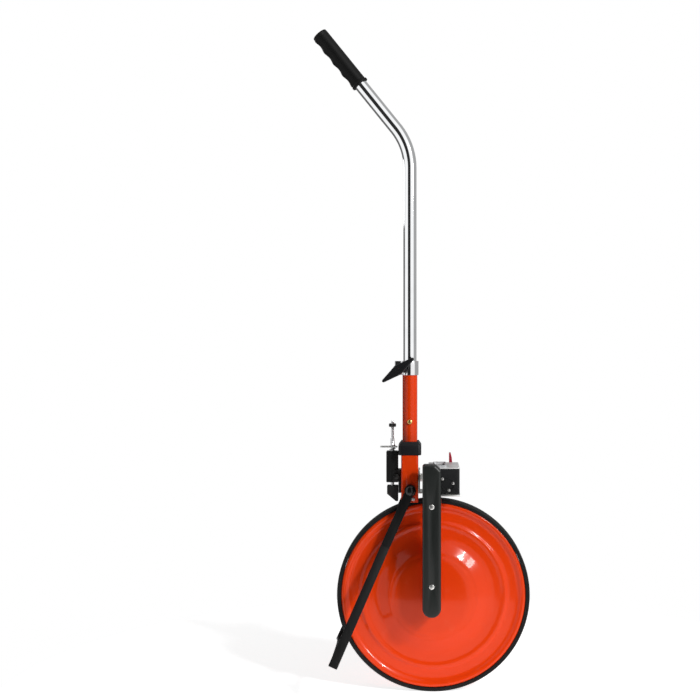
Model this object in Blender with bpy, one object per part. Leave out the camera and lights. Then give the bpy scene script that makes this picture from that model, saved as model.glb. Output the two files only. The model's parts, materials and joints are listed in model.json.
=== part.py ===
"""Measuring wheel: a walking wheel with a one-metre rim, made as separate parts.

Frame: the origin is where the tyre meets the ground under the axle. +Z is up,
+Y is forward, away from the person who walks behind it, and +X is that person's
right, the side with the drive cover. Sizes here are in millimetres, and MM turns
them into Blender's metres when a mesh or an object's origin is made.
"""

import math

import bmesh
import bpy
from mathutils import Matrix, Vector

MM = 0.001
GAP = 0.3                     # air left between parts that fit into each other

# Wheel
RIM_LENGTH = 1000.0           # one turn of the wheel measures one metre
TYRE_R = RIM_LENGTH / (2 * math.pi)
AXLE_Z = TYRE_R
TYRE_STEPS = 40
TYRE_HALF_WIDTH = 12.5
RIM_R = 152.2                 # outside of the pressed steel rim, under the tyre
SHEET = 1.5                   # thickness of the pressed discs
FLAT_HALF_WIDTH = 11.5        # outer, flat ring of each disc
STEP_OUTER_R = 94.0
STEP_INNER_R = 72.0
STEP_HALF_WIDTH = 22.5
CROWN_RIGHT = 27.0            # half width of the disc where it meets the hub
CROWN_LEFT = 30.0
HUB_R = 9.2
HUB_LEFT_X = -41.5
HUB_RIGHT_X = 27.5
BEARING_R = 7.2
BEARING_LENGTH = 6.0
AXLE_R = 4.0

# Fork
LEG_INNER_X = 43.0
LEG_THICK = 3.0
LEG_WIDTH = 25.0
CROWN_TOP_Z = 327.5
LEG_END_Z = 141.0
POINTER_END_Z = 26.0
POINTER_WIDTH = 10.0
BUSH_R = 9.0

# Belt drive in its cover
SLEEVE_R = 6.6
PULLEY_FLANGE_R = 9.4
PULLEY_R = 7.0
PULLEY_X = (51.0, 61.0)
BELT_X = (52.4, 59.6)
BELT_THICK = 1.4
COVER_X = (46.4, 71.5)
COVER_Y = -3.0
COVER_HALF_WIDTH = 15.0
COVER_BOTTOM_Z = 134.5
COVER_TOP_Z = 379.5
COVER_WALL = 1.8
COVER_SCREW_Z = (312.5, 184.5)

# Counter
INPUT_Y = 0.0
INPUT_Z = 354.0
GEAR_SPACING = 10.6
DRUM_Y = INPUT_Y + GEAR_SPACING
GEAR_TEETH = 12
GEAR_TIP_R = 5.5
GEAR_ROOT_R = 4.6
GEAR_X = (33.6, 37.2)
SHAFT_R = 2.3
DRUM_R = 10.0
DRUM_COUNT = 5
DRUM_WIDTH = 8.4
DRUM_PITCH = 10.0
FIRST_DRUM_X = 26.0
CASE_X = (-45.7, 43.2)
CASE_Y = (-8.0, 42.5)
CASE_Z = (330.9, 370.6)
CASE_WALL = 2.0
TOP_PLATE_THICK = 1.6
WINDOW_X = (-20.0, 32.0)
WINDOW_Y = (3.0, 18.2)
PLATE_X = (-56.0, 59.0)
PLATE_Y = (-24.6, 43.0)
PLATE_Z = (328.0, 330.3)
RESET_Y = 30.0
RESET_Z = 356.0
RESET_STUB_R = 1.6

# Column and handle
COLUMN_Y = -38.8
COLUMN_X = 50.0
COLUMN_DEPTH = 28.4
COLUMN_WALL = 1.5
COLUMN_Z = (313.5, 398.0)
CHEEK_TOP_Z = 319.5            # front and rear walls end here, clear of the tyre
CAP_Z = (391.0, 412.5)
OUTER_TUBE_R = 12.3
OUTER_TUBE_WALL = 1.1
OUTER_TUBE_Z = (341.0, 545.0)
HANDLE_R = 10.9
HANDLE_WALL = 1.5
HANDLE_END_Z = 440.0
BEND_Z = 902.0                # where the two straight centre lines would cross
BEND_ANGLE = math.radians(39.0)
BEND_R = 105.0
GRIP_START = 130.0            # measured along the upper centre line from the bend
GRIP_END = 240.0
SLOT_Z = (442.2, 553.0)
GUIDE_SCREW_Z = 445.0
CLAMP_Z = (522.0, 545.0)
CLAMP_SCREW_Y = -58.0
CLAMP_SCREW_Z = 531.0
WING_X = (22.0, 36.5)
WING_LENGTH = 64.0
WING_TIP_R = 2.6
WING_ROOT_HALF = 8.0
WING_TILT = math.radians(37.0)

# Kick stand
STAND_Y = -38.0
STAND_Z = 333.0
STAND_ANGLE = math.radians(24.2)
STAND_LENGTH = 300.0
STAND_STRAIGHT = 100.0
STAND_WIDTH = 15.0
STAND_THICK = 3.3
STAND_TOP_X = 27.1
STAND_FOOT_X = 86.0
STAND_EYE_R = 9.5
STOP_ALONG = 11.0             # place of the stop pin along the leg from the pivot
STOP_R = 2.5

# Brake
BRAKE_Y = -67.7
BRAKE_ROD_R = 2.8
BLOCK_Y = (-77.8, -58.2)
BLOCK_Z = (345.0, 396.0)
BLOCK_HALF_WIDTH = 11.0
PAD_Y = (-76.5, -58.3)
PAD_Z = (314.0, 339.0)
TAB_Z = (402.2, 403.9)
SPRING_SEAT_Z = 374.0
BRAKE_BOLT = (-61.2, 355.0)
BRACKET_THICK = 4.4


# ---------------------------------------------------------------- small helpers

def clear_scene():
    for obj in list(bpy.data.objects):
        bpy.data.objects.remove(obj, do_unlink=True)


def make_material(name, colour, roughness, metallic=0.0, alpha=1.0):
    mat = bpy.data.materials.new(name)
    mat.use_nodes = True
    shader = mat.node_tree.nodes["Principled BSDF"]
    shader.inputs["Base Color"].default_value = (*colour, 1.0)
    shader.inputs["Roughness"].default_value = roughness
    shader.inputs["Metallic"].default_value = metallic
    shader.inputs["Alpha"].default_value = alpha
    return mat


def arc(cy, cz, radius, start, end, steps):
    """Points on an arc in the outline's own plane, angles in degrees."""
    points = []
    for i in range(steps + 1):
        angle = math.radians(start + (end - start) * i / steps)
        points.append((cy + radius * math.cos(angle), cz + radius * math.sin(angle)))
    return points


def circle(cy, cz, radius, steps, turn=0.0):
    return arc(cy, cz, radius, turn, turn + 360.0 * (steps - 1) / steps, steps - 1)


def rounded_box(low, high, radius, steps=3):
    (a0, b0), (a1, b1) = low, high
    points = arc(a1 - radius, b0 + radius, radius, -90, 0, steps)
    points += arc(a1 - radius, b1 - radius, radius, 0, 90, steps)
    points += arc(a0 + radius, b1 - radius, radius, 90, 180, steps)
    points += arc(a0 + radius, b0 + radius, radius, 180, 270, steps)
    return points


def offset_line(points, distance):
    """An open line moved sideways by a distance, with mitred corners."""
    moved = []
    for i, point in enumerate(points):
        before = Vector(points[max(i - 1, 0)])
        after = Vector(points[min(i + 1, len(points) - 1)])
        here = Vector(point)
        first = (here - before).normalized() if i else (after - here).normalized()
        last = (after - here).normalized() if i < len(points) - 1 else first
        normal_a = Vector((-first.y, first.x))
        normal_b = Vector((-last.y, last.x))
        mitre = (normal_a + normal_b).normalized()
        moved.append(tuple(here + mitre * (distance / max(mitre.dot(normal_a), 0.3))))
    return moved


def strip(points, thickness):
    """Closed outline of a sheet whose one face runs along an open line."""
    return list(points) + offset_line(points, thickness)[::-1]


def to_space(axis, along, a, b):
    """A point of an outline's plane, at a place along the extrusion axis."""
    if axis == "X":
        return Vector((along, a, b))
    if axis == "Y":
        return Vector((a, along, b))
    return Vector((a, b, along))


def prism(outline, axis, low, high):
    """A closed prism: an outline pushed along X, Y or Z."""
    bm = bmesh.new()
    base = [bm.verts.new(to_space(axis, low, a, b)) for a, b in outline]
    face = bm.faces.new(base)
    pushed = bmesh.ops.extrude_face_region(bm, geom=[face])["geom"]
    verts = [item for item in pushed if isinstance(item, bmesh.types.BMVert)]
    bmesh.ops.translate(bm, verts=verts, vec=to_space(axis, high - low, 0.0, 0.0))
    bmesh.ops.recalc_face_normals(bm, faces=bm.faces)
    return bm


def turned(profile, axis, centre, steps=16, closed=True, turn=0.0):
    """A turned solid. The profile lists (place along the axis, radius)."""
    bm = bmesh.new()
    side = Vector((0, 0, 1)) if axis == "X" else Vector((1, 0, 0))
    line = to_space(axis, 1.0, 0.0, 0.0)
    spin_start = Matrix.Rotation(math.radians(turn), 3, line)
    verts = [bm.verts.new(centre + spin_start @ (line * a + side * r)) for a, r in profile]
    pairs = zip(verts, verts[1:] + verts[:1]) if closed else zip(verts, verts[1:])
    edges = [bm.edges.new(pair) for pair in pairs]
    bmesh.ops.spin(bm, geom=verts + edges, cent=centre, axis=line, angle=2 * math.pi,
                   steps=steps, use_merge=True)
    bmesh.ops.remove_doubles(bm, verts=bm.verts, dist=0.001)
    bmesh.ops.recalc_face_normals(bm, faces=bm.faces)
    return bm


def swept(stations, sides, inner=None):
    """A tube or rod through stations of (centre, normal, radius) in a plane of YZ.

    With inner, a bore of that radius runs through it from end to end.
    """
    bm = bmesh.new()

    def ring(centre, normal, radius):
        made = []
        for i in range(sides):
            angle = 2 * math.pi * i / sides
            across = Vector((math.cos(angle), 0, 0)) + normal * math.sin(angle)
            made.append(bm.verts.new(centre + across * radius))
        return made

    def skin(rings):
        for one, two in zip(rings, rings[1:]):
            for i in range(sides):
                j = (i + 1) % sides
                bm.faces.new((one[i], one[j], two[j], two[i]))

    outer = [ring(*station) for station in stations]
    skin(outer)
    if inner is None:
        bm.faces.new(outer[0][::-1])
        bm.faces.new(outer[-1])
    else:
        bore = [ring(centre, normal, inner) for centre, normal, _ in stations]
        skin(bore)
        skin([outer[0], bore[0]])
        skin([outer[-1], bore[-1]])
    bmesh.ops.recalc_face_normals(bm, faces=bm.faces)
    return bm


def box(low, high):
    corners = [(low[0], low[1]), (high[0], low[1]), (high[0], high[1]), (low[0], high[1])]
    return prism(corners, "Z", low[2], high[2])


def add(name, bm, mat, pivot=(0.0, 0.0, 0.0), smooth=True):
    """Turns a mesh in millimetres into an object whose origin is at its pivot."""
    pivot = Vector(pivot)
    for vert in bm.verts:
        vert.co = (vert.co - pivot) * MM
    mesh = bpy.data.meshes.new(name)
    bm.to_mesh(mesh)
    bm.free()
    if smooth:
        mesh.shade_smooth()
        mesh.set_sharp_from_angle(angle=math.radians(35))
    obj = bpy.data.objects.new(name, mesh)
    obj.location = pivot * MM
    bpy.context.scene.collection.objects.link(obj)
    if mat is not None:
        mesh.materials.append(mat)
    return obj


def shape_with(obj, bm, operation):
    """Cuts, joins or trims a part with a helper solid that stays hidden."""
    helper = add("helper_" + obj.name + "_" + str(len(obj.modifiers)), bm, None)
    helper.hide_render = True
    helper.display_type = "WIRE"
    modifier = obj.modifiers.new(operation.lower(), "BOOLEAN")
    modifier.operation = operation
    modifier.solver = "EXACT"
    modifier.object = helper
    return obj


def drill(obj, axis, centre, radius, low, high, steps=12):
    """A round hole along an axis; centre is its place in the other two."""
    return shape_with(obj, prism(circle(*centre, radius, steps, 7.0), axis, low, high), "DIFFERENCE")


def headed_screw(axis, a, b, head, tip, head_r, shank_r, head_height, steps=10):
    """A screw from its head's outer face towards its tip along one axis."""
    way = 1.0 if tip > head else -1.0
    under = head + way * head_height
    crown = head + way * head_height * 0.25
    profile = [(head, 0.0), (head, head_r * 0.8), (crown, head_r), (under, head_r),
               (under, shank_r), (tip, shank_r), (tip, 0.0)]
    return turned(profile, axis, to_space(axis, 0.0, a, b), steps, closed=False)


# ---------------------------------------------------------------- wheel

def disc_line(crown):
    """Outer face of a pressed disc, from the hub out to the rim's inward flange."""
    return [(crown, HUB_R + GAP), (crown - 1.0, 40.0), (STEP_HALF_WIDTH + 1.2, 66.0),
            (STEP_HALF_WIDTH - 1.2, STEP_INNER_R), (FLAT_HALF_WIDTH, STEP_OUTER_R),
            (FLAT_HALF_WIDTH, RIM_R - 1.5), (FLAT_HALF_WIDTH - 1.5, RIM_R), (0.2, RIM_R)]


def build_wheel(mats):
    centre = Vector((0, 0, AXLE_Z))
    half = TYRE_HALF_WIDTH
    corner_r = TYRE_R / math.cos(math.pi / TYRE_STEPS)
    half_step = 180.0 / TYRE_STEPS
    tyre = [(-half, RIM_R + GAP), (-half, corner_r - 2.2), (-half + 0.8, corner_r - 0.6),
            (-half + 2.2, corner_r), (half - 2.2, corner_r), (half - 0.8, corner_r - 0.6),
            (half, corner_r - 2.2), (half, RIM_R + GAP)]
    add("tyre", turned(tyre, "X", centre, TYRE_STEPS, turn=half_step), mats["rubber"], centre)
    for side, way, crown in (("right", 1.0, CROWN_RIGHT), ("left", -1.0, CROWN_LEFT)):
        outline = [(way * x, r) for x, r in strip(disc_line(crown), SHEET)]
        disc = turned(outline, "X", centre, TYRE_STEPS, turn=half_step)
        add("wheel_disc_" + side, disc, mats["orange"], centre)
    flange_x = CROWN_RIGHT - SHEET - 2.2
    hub = [(HUB_LEFT_X, BEARING_R + GAP), (HUB_LEFT_X, HUB_R), (-flange_x - 3.0, HUB_R),
           (-flange_x - 3.0, 18.0), (-flange_x, 18.0), (-flange_x, HUB_R), (flange_x - 2.0, HUB_R),
           (flange_x - 2.0, 18.0), (flange_x, 18.0), (flange_x, HUB_R), (HUB_RIGHT_X, HUB_R),
           (HUB_RIGHT_X, BEARING_R + GAP)]
    add("wheel_hub", turned(hub, "X", centre), mats["orange"], centre)
    for side, start in (("left", HUB_LEFT_X + 0.6), ("right", HUB_RIGHT_X - 10.0)):
        ring = [(start, AXLE_R + GAP), (start, BEARING_R), (start + BEARING_LENGTH, BEARING_R),
                (start + BEARING_LENGTH, AXLE_R + GAP)]
        add("bearing_" + side, turned(ring, "X", centre), mats["steel"], centre)
    sleeve = [(HUB_RIGHT_X - 3.0, AXLE_R + GAP), (HUB_RIGHT_X - 3.0, BEARING_R),
              (HUB_RIGHT_X + 0.4, BEARING_R), (HUB_RIGHT_X + 0.4, 10.6), (34.0, 9.6),
              (42.4, 7.8), (42.4, SLEEVE_R), (PULLEY_X[0] - GAP, SLEEVE_R),
              (PULLEY_X[0] - GAP, 5.4), (PULLEY_X[1] + 0.5, 5.4), (PULLEY_X[1] + 0.5, AXLE_R + GAP)]
    add("drive_sleeve", turned(sleeve, "X", centre), mats["brown"], centre)
    add("lower_pulley", pulley(centre, 5.4 + GAP), mats["steel"], centre)
    build_axle(mats, centre)


def pulley(centre, bore):
    x0, x1 = PULLEY_X
    rim = [(x0, bore), (x0, PULLEY_FLANGE_R), (x0 + 1.1, PULLEY_FLANGE_R), (x0 + 1.1, PULLEY_R),
           (x1 - 1.1, PULLEY_R), (x1 - 1.1, PULLEY_FLANGE_R), (x1, PULLEY_FLANGE_R), (x1, bore)]
    return turned(rim, "X", centre)


def build_axle(mats, centre):
    head_x = PULLEY_X[1] + 0.9
    axle = turned([(-54.0, 0.0), (-54.0, AXLE_R - 0.8), (-53.2, AXLE_R), (head_x, AXLE_R),
                   (head_x, 6.2), (head_x + 3.6, 6.2), (head_x + 4.2, 5.4), (head_x + 4.2, 0.0)],
                  "X", centre, closed=False)
    add("axle", axle, mats["steel"])
    nut_x = -LEG_INNER_X - LEG_THICK - GAP
    nut = prism(circle(0.0, AXLE_Z, 7.4, 6), "X", nut_x - 4.6, nut_x)
    drill(add("axle_nut", nut, mats["dark"]), "X", (0.0, AXLE_Z), AXLE_R + GAP, nut_x - 9.0, nut_x + 4.0)
    bush = [(LEG_INNER_X, SLEEVE_R + GAP), (LEG_INNER_X, BUSH_R),
            (LEG_INNER_X + LEG_THICK, BUSH_R), (LEG_INNER_X + LEG_THICK, SLEEVE_R + GAP)]
    add("sleeve_bush", turned(bush, "X", centre), mats["brass"])


# ---------------------------------------------------------------- fork and drive

def build_fork(mats):
    outer_x = LEG_INNER_X + LEG_THICK
    bend = 7.0
    outer = [(-outer_x, POINTER_END_Z)]
    outer += arc(-outer_x + bend, CROWN_TOP_Z - bend, bend, 180, 90, 4)
    outer += arc(outer_x - bend, CROWN_TOP_Z - bend, bend, 90, 0, 4)
    outer += [(outer_x, LEG_END_Z)]
    fork = add("fork", prism(strip(outer, -LEG_THICK), "Y", -LEG_WIDTH / 2, LEG_WIDTH / 2),
               mats["orange"])
    half = LEG_WIDTH / 2
    slim = POINTER_WIDTH / 2
    for way in (-1.0, 1.0):
        waste = [(way * slim, POINTER_END_Z - 5.0), (way * slim, LEG_END_Z - 14.0),
                 (way * (slim + 3.0), LEG_END_Z - 4.0), (way * (half + 4.0), LEG_END_Z + 8.0),
                 (way * (half + 4.0), POINTER_END_Z - 5.0)]
        shape_with(fork, prism(waste, "X", -outer_x - 4.0, -LEG_INNER_X + 4.0), "DIFFERENCE")
    drill(fork, "X", (0.0, AXLE_Z), AXLE_R + GAP, -outer_x - 4.0, -LEG_INNER_X + 4.0)
    drill(fork, "X", (0.0, AXLE_Z), BUSH_R + GAP, LEG_INNER_X - 4.0, outer_x + 4.0, 24)
    for z in COVER_SCREW_Z:
        drill(fork, "X", (COVER_Y, z), 2.3, LEG_INNER_X - 4.0, outer_x + 4.0)
    for side, x in (("left", -30.0), ("right", 30.0)):
        drill(fork, "Z", (x, 0.0), 3.1, CROWN_TOP_Z - 8.0, CROWN_TOP_Z + 4.0)
        under = CROWN_TOP_Z - LEG_THICK - GAP
        bolt = headed_screw("Z", x, 0.0, under - 3.6, CASE_Z[0] + CASE_WALL + 2.5, 5.4, 2.8, 3.6)
        add("fork_bolt_" + side, bolt, mats["zinc"])


def cover_outline(inset):
    """The cover's side outline: round foot, straight flanks, cut top corners."""
    half = COVER_HALF_WIDTH - inset
    foot_z = COVER_BOTTOM_Z + COVER_HALF_WIDTH
    top = COVER_TOP_Z - inset
    rear, front = COVER_Y - half, COVER_Y + half
    points = arc(COVER_Y, foot_z, half, 180, 360, 10)
    points += [(front, top - 10.0), (front - 2.0, top - 6.5), (front - 7.0, top - 1.0)]
    points += [(front - 10.0, top), (rear + 5.0, top), (rear + 1.4, top - 1.4), (rear, top - 5.0)]
    return points


def build_drive(mats):
    x0, x1 = COVER_X
    cover = add("drive_cover", prism(cover_outline(0.0), "X", x0, x1), mats["black"])
    shape_with(cover, prism(cover_outline(COVER_WALL), "X", x0 - 3.0, x1 - COVER_WALL), "DIFFERENCE")
    back_x = x0 + 1.6
    back = add("cover_back", prism(cover_outline(COVER_WALL + GAP), "X", x0, back_x), mats["black"])
    drill(back, "X", (0.0, AXLE_Z), SLEEVE_R + 0.8, x0 - 3.0, back_x + 3.0, 20)
    drill(back, "X", (INPUT_Y, INPUT_Z), SHAFT_R + 0.8, x0 - 3.0, back_x + 3.0)
    for place, z in zip(("upper", "lower"), COVER_SCREW_Z):
        post = prism(circle(COVER_Y, z, 3.9, 16), "X", back_x + GAP, x1 - COVER_WALL + 0.6)
        shape_with(cover, post, "UNION")
        drill(cover, "X", (COVER_Y, z), 2.3, x0, x1 + 3.0)
        drill(cover, "X", (COVER_Y, z), 4.5, x1 - 1.2, x1 + 3.0)
        drill(back, "X", (COVER_Y, z), 2.3, x0 - 3.0, back_x + 3.0)
        screw = headed_screw("X", COVER_Y, z, x1 + 0.3, LEG_INNER_X - 0.6, 4.1, 2.0, 1.2)
        add("cover_screw_" + place, screw, mats["steel"])
    inner_r = PULLEY_R + GAP
    slant = math.degrees(math.atan2(INPUT_Z - AXLE_Z, INPUT_Y))
    loops = []
    for radius in (inner_r, inner_r + BELT_THICK):
        loop = arc(0.0, AXLE_Z, radius, slant + 90, slant + 270, 12)
        loop += arc(INPUT_Y, INPUT_Z, radius, slant - 90, slant + 90, 12)
        loops.append(loop)
    belt = add("drive_belt", prism(loops[1], "X", *BELT_X), mats["rubber"])
    shape_with(belt, prism(loops[0], "X", BELT_X[0] - 2.0, BELT_X[1] + 2.0), "DIFFERENCE")


# ---------------------------------------------------------------- counter

def gear_outline(cy, cz, phase):
    points = []
    pitch = 360.0 / GEAR_TEETH
    for tooth in range(GEAR_TEETH):
        middle = phase + tooth * pitch
        for radius, side in ((GEAR_ROOT_R, -0.24), (GEAR_TIP_R, -0.12), (GEAR_TIP_R, 0.12),
                             (GEAR_ROOT_R, 0.24)):
            angle = math.radians(middle + side * pitch)
            points.append((cy + radius * math.cos(angle), cz + radius * math.sin(angle)))
    return points


def build_counter(mats):
    (x0, x1), (y0, y1), (z0, z1) = CASE_X, CASE_Y, CASE_Z
    case = add("counter_case", prism(rounded_box((x0, y0), (x1, y1), 3.0), "Z", z0, z1), mats["black"])
    room = rounded_box((x0 + CASE_WALL, y0 + CASE_WALL), (x1 - CASE_WALL, y1 - CASE_WALL), 1.5)
    shape_with(case, prism(room, "Z", z0 + CASE_WALL, z1 + 3.0), "DIFFERENCE")
    drill(case, "X", (INPUT_Y, INPUT_Z), SHAFT_R + GAP, x1 - 5.0, x1 + 3.0)
    drill(case, "X", (RESET_Y, RESET_Z), SHAFT_R + GAP, x0 - 3.0, x0 + 5.0)
    for x in (-30.0, 30.0):
        drill(case, "Z", (x, 0.0), 3.1, z0 - 3.0, z0 + CASE_WALL + 1.0)
    top_low = z1 + GAP
    top = add("counter_top_plate",
              prism(rounded_box((x0 + 0.2, y0 + 0.2), (x1 - 0.2, y1 - 0.2), 3.0), "Z",
                    top_low, top_low + TOP_PLATE_THICK), mats["bright"])
    window = rounded_box((WINDOW_X[0], WINDOW_Y[0]), (WINDOW_X[1], WINDOW_Y[1]), 1.5)
    shape_with(top, prism(window, "Z", z1 - 3.0, z1 + 5.0), "DIFFERENCE")
    pane_x = (WINDOW_X[0] - 2.0, WINDOW_X[1] + 2.0)
    pane_y = (WINDOW_Y[0] - 2.0, WINDOW_Y[1] + 2.0)
    pane = prism(rounded_box((pane_x[0], pane_y[0]), (pane_x[1], pane_y[1]), 1.5), "Z",
                 top_low - 1.8, top_low - GAP)
    add("counter_window", pane, mats["clear"])
    for number, (y, z) in enumerate(((14.3, 354.3), (31.5, 347.1), (24.9, 335.9)), 1):
        drill(case, "X", (y, z), 1.5, x1 - 4.0, x1 + 2.0, 10)
        screw = headed_screw("X", y, z, x1 + 1.4, x1 - 3.2, 2.4, 1.2, 1.1, 12)
        add("counter_screw_" + str(number), screw, mats["steel"])

    axis = (0.0, INPUT_Y, INPUT_Z)
    shaft = turned([(GEAR_X[0] - 1.6, 0.0), (GEAR_X[0] - 1.6, SHAFT_R), (PULLEY_X[1] + 1.2, SHAFT_R),
                    (PULLEY_X[1] + 1.2, 0.0)], "X", Vector(axis), 16, closed=False)
    shaft = add("input_shaft", shaft, mats["steel"], axis)
    shape_with(shaft, prism(gear_outline(INPUT_Y, INPUT_Z, 0.0), "X", *GEAR_X), "UNION")
    add("upper_pulley", pulley(Vector(axis), SHAFT_R + GAP), mats["steel"], axis)

    axis = (0.0, DRUM_Y, INPUT_Z)
    left_end = x0 + CASE_WALL + 0.6
    shaft = turned([(left_end, 0.0), (left_end, SHAFT_R), (x1 - CASE_WALL - 0.6, SHAFT_R),
                    (x1 - CASE_WALL - 0.6, 0.0)], "X", Vector(axis), 16, closed=False)
    shaft = add("drum_shaft", shaft, mats["steel"], axis)
    half_pitch = 180.0 / GEAR_TEETH
    shape_with(shaft, prism(gear_outline(DRUM_Y, INPUT_Z, half_pitch), "X", *GEAR_X), "UNION")
    for number in range(DRUM_COUNT):
        middle = FIRST_DRUM_X - number * DRUM_PITCH
        a, b = middle - DRUM_WIDTH / 2, middle + DRUM_WIDTH / 2
        ring = [(a, SHAFT_R + GAP), (a, DRUM_R), (b, DRUM_R), (b, SHAFT_R + GAP)]
        add("number_drum_" + str(number + 1), turned(ring, "X", Vector(axis)), mats["white"], axis)
    build_reset(mats)


def build_reset(mats):
    axis = (0.0, RESET_Y, RESET_Z)
    right_end = CASE_X[1] - CASE_WALL - 4.0
    shaft = turned([(-56.6, 0.0), (-56.6, RESET_STUB_R), (-50.5, RESET_STUB_R), (-50.5, 7.6),
                    (-49.6, 8.6), (CASE_X[0] - GAP, 8.6), (CASE_X[0] - GAP, SHAFT_R),
                    (right_end, SHAFT_R), (right_end, 0.0)], "X", Vector(axis), 14, closed=False)
    add("reset_shaft", shaft, mats["dark"], axis)
    blade = [(-51.0, 343.5), (-52.5, 342.0), (-57.5, 342.0), (-59.2, 343.8), (-61.0, 362.0)]
    blade += [(-63.8, 378.5), (-63.2, 383.8), (-60.4, 387.4), (-57.0, 388.5), (-53.4, 387.0)]
    blade += [(-51.3, 383.0), (-51.0, 375.0)]
    lever = add("reset_lever", prism(blade, "Y", RESET_Y - 2.85, RESET_Y + 2.85), mats["crimson"], axis)
    drill(lever, "X", (RESET_Y, RESET_Z), RESET_STUB_R + GAP, -57.0, -48.0, 12)


def build_counter_plate(mats):
    (x0, x1), (y0, y1), (z0, z1) = PLATE_X, PLATE_Y, PLATE_Z
    lip = z0 + 6.0
    sheet = z1 - z0
    line = [(x0, lip), (x0, z0), (x1, z0)]
    plate = add("counter_plate", prism(strip(line, sheet), "Y", y0, y1), mats["zinc"], smooth=False)
    flange_half = 22.0
    cover_front = COVER_Y + COVER_HALF_WIDTH + 0.6
    shape_with(plate, box((COVER_X[0] - 0.5, y0 - 2.0, z0 - 2.0), (x1 + 2.0, cover_front, lip + 2.0)),
               "DIFFERENCE")
    for a, b in ((x0 - 2.0, -flange_half), (flange_half, x1 + 2.0)):
        shape_with(plate, box((a, y0 - 2.0, z0 - 2.0), (b, CASE_Y[0] - 4.0, lip + 2.0)), "DIFFERENCE")
    shape_with(plate, box((-flange_half, y0, z0), (flange_half, y0 + 2.5, 366.0)), "UNION")
    for side, x in (("left", -17.0), ("right", 17.0)):
        drill(plate, "Y", (x, 352.0), 3.1, y0 - 3.0, y0 + 6.0)
        head = y0 + 2.5 + GAP + 3.4
        bolt = headed_screw("Y", x, 352.0, head, y0 - 6.0, 5.0, 2.8, 3.4)
        add("column_bolt_" + side, bolt, mats["zinc"])
    for x in (-30.0, 30.0):
        drill(plate, "Z", (x, 0.0), 3.1, z0 - 3.0, z1 + 3.0)


# ---------------------------------------------------------------- column and handle

def build_column(mats):
    half_x, half_y = COLUMN_X / 2, COLUMN_DEPTH / 2
    z0, z1 = COLUMN_Z
    low = (-half_x, COLUMN_Y - half_y)
    high = (half_x, COLUMN_Y + half_y - GAP)
    base = add("column_base", prism(rounded_box(low, high, 3.0), "Z", z0, z1), mats["orange"])
    wall = COLUMN_WALL
    room = rounded_box((low[0] + wall, low[1] + wall), (high[0] - wall, high[1] - wall + GAP), 1.2)
    shape_with(base, prism(room, "Z", z0 - 3.0, z1 + 3.0), "DIFFERENCE")
    tyre_room = box((-half_x + 4.5, low[1] - 3.0, z0 - 3.0), (half_x - 4.5, high[1] + 3.0, CHEEK_TOP_Z))
    shape_with(base, tyre_room, "DIFFERENCE")
    drill(base, "X", (STAND_Y, STAND_Z), 4.3, -half_x - 3.0, half_x + 3.0)
    drill(base, "X", stop_place(), STOP_R + GAP, -half_x - 3.0, half_x + 3.0, 12)
    for x in (-17.0, 17.0):
        drill(base, "Y", (x, 352.0), 3.1, COLUMN_Y + 8.0, COLUMN_Y + half_y + 3.0)

    c0, c1 = CAP_Z
    cap_half_x, cap_half_y = 26.5, 18.8
    cap = prism(rounded_box((-cap_half_x, COLUMN_Y - cap_half_y), (cap_half_x, COLUMN_Y + cap_half_y), 4.0),
                "Z", c0, c1)
    top_edges = [e for e in cap.edges if all(abs(v.co.z - c1) < 1e-6 for v in e.verts)]
    bmesh.ops.bevel(cap, geom=top_edges, offset=2.6, segments=2, profile=0.5, affect="EDGES")
    cap = add("column_cap", cap, mats["black"])
    seat = rounded_box((low[0] - GAP, low[1] - GAP), (high[0] + GAP, high[1] + GAP + 0.3), 3.0)
    shape_with(cap, prism(seat, "Z", c0 - 3.0, z1 + GAP), "DIFFERENCE")
    drill(cap, "Z", (0.0, COLUMN_Y), OUTER_TUBE_R + 2 * GAP, c0, c1 + 3.0, 24)

    tube_axis = Vector((0, COLUMN_Y, 0))
    inner_r = OUTER_TUBE_R - OUTER_TUBE_WALL
    t0, t1 = OUTER_TUBE_Z
    tube = turned([(t0, inner_r), (t0, OUTER_TUBE_R), (t1, OUTER_TUBE_R), (t1, inner_r)],
                  "Z", tube_axis, 24)
    tube = add("outer_tube", tube, mats["orange"])
    drill(tube, "X", (COLUMN_Y, GUIDE_SCREW_Z), 2.3, 8.0, OUTER_TUBE_R + 3.0, 12)
    screw = headed_screw("X", COLUMN_Y, GUIDE_SCREW_Z, OUTER_TUBE_R + 3.0, 9.6, 3.8, 1.9, 2.6)
    add("guide_screw", screw, mats["brass"])
    build_clamp(mats)


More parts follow.
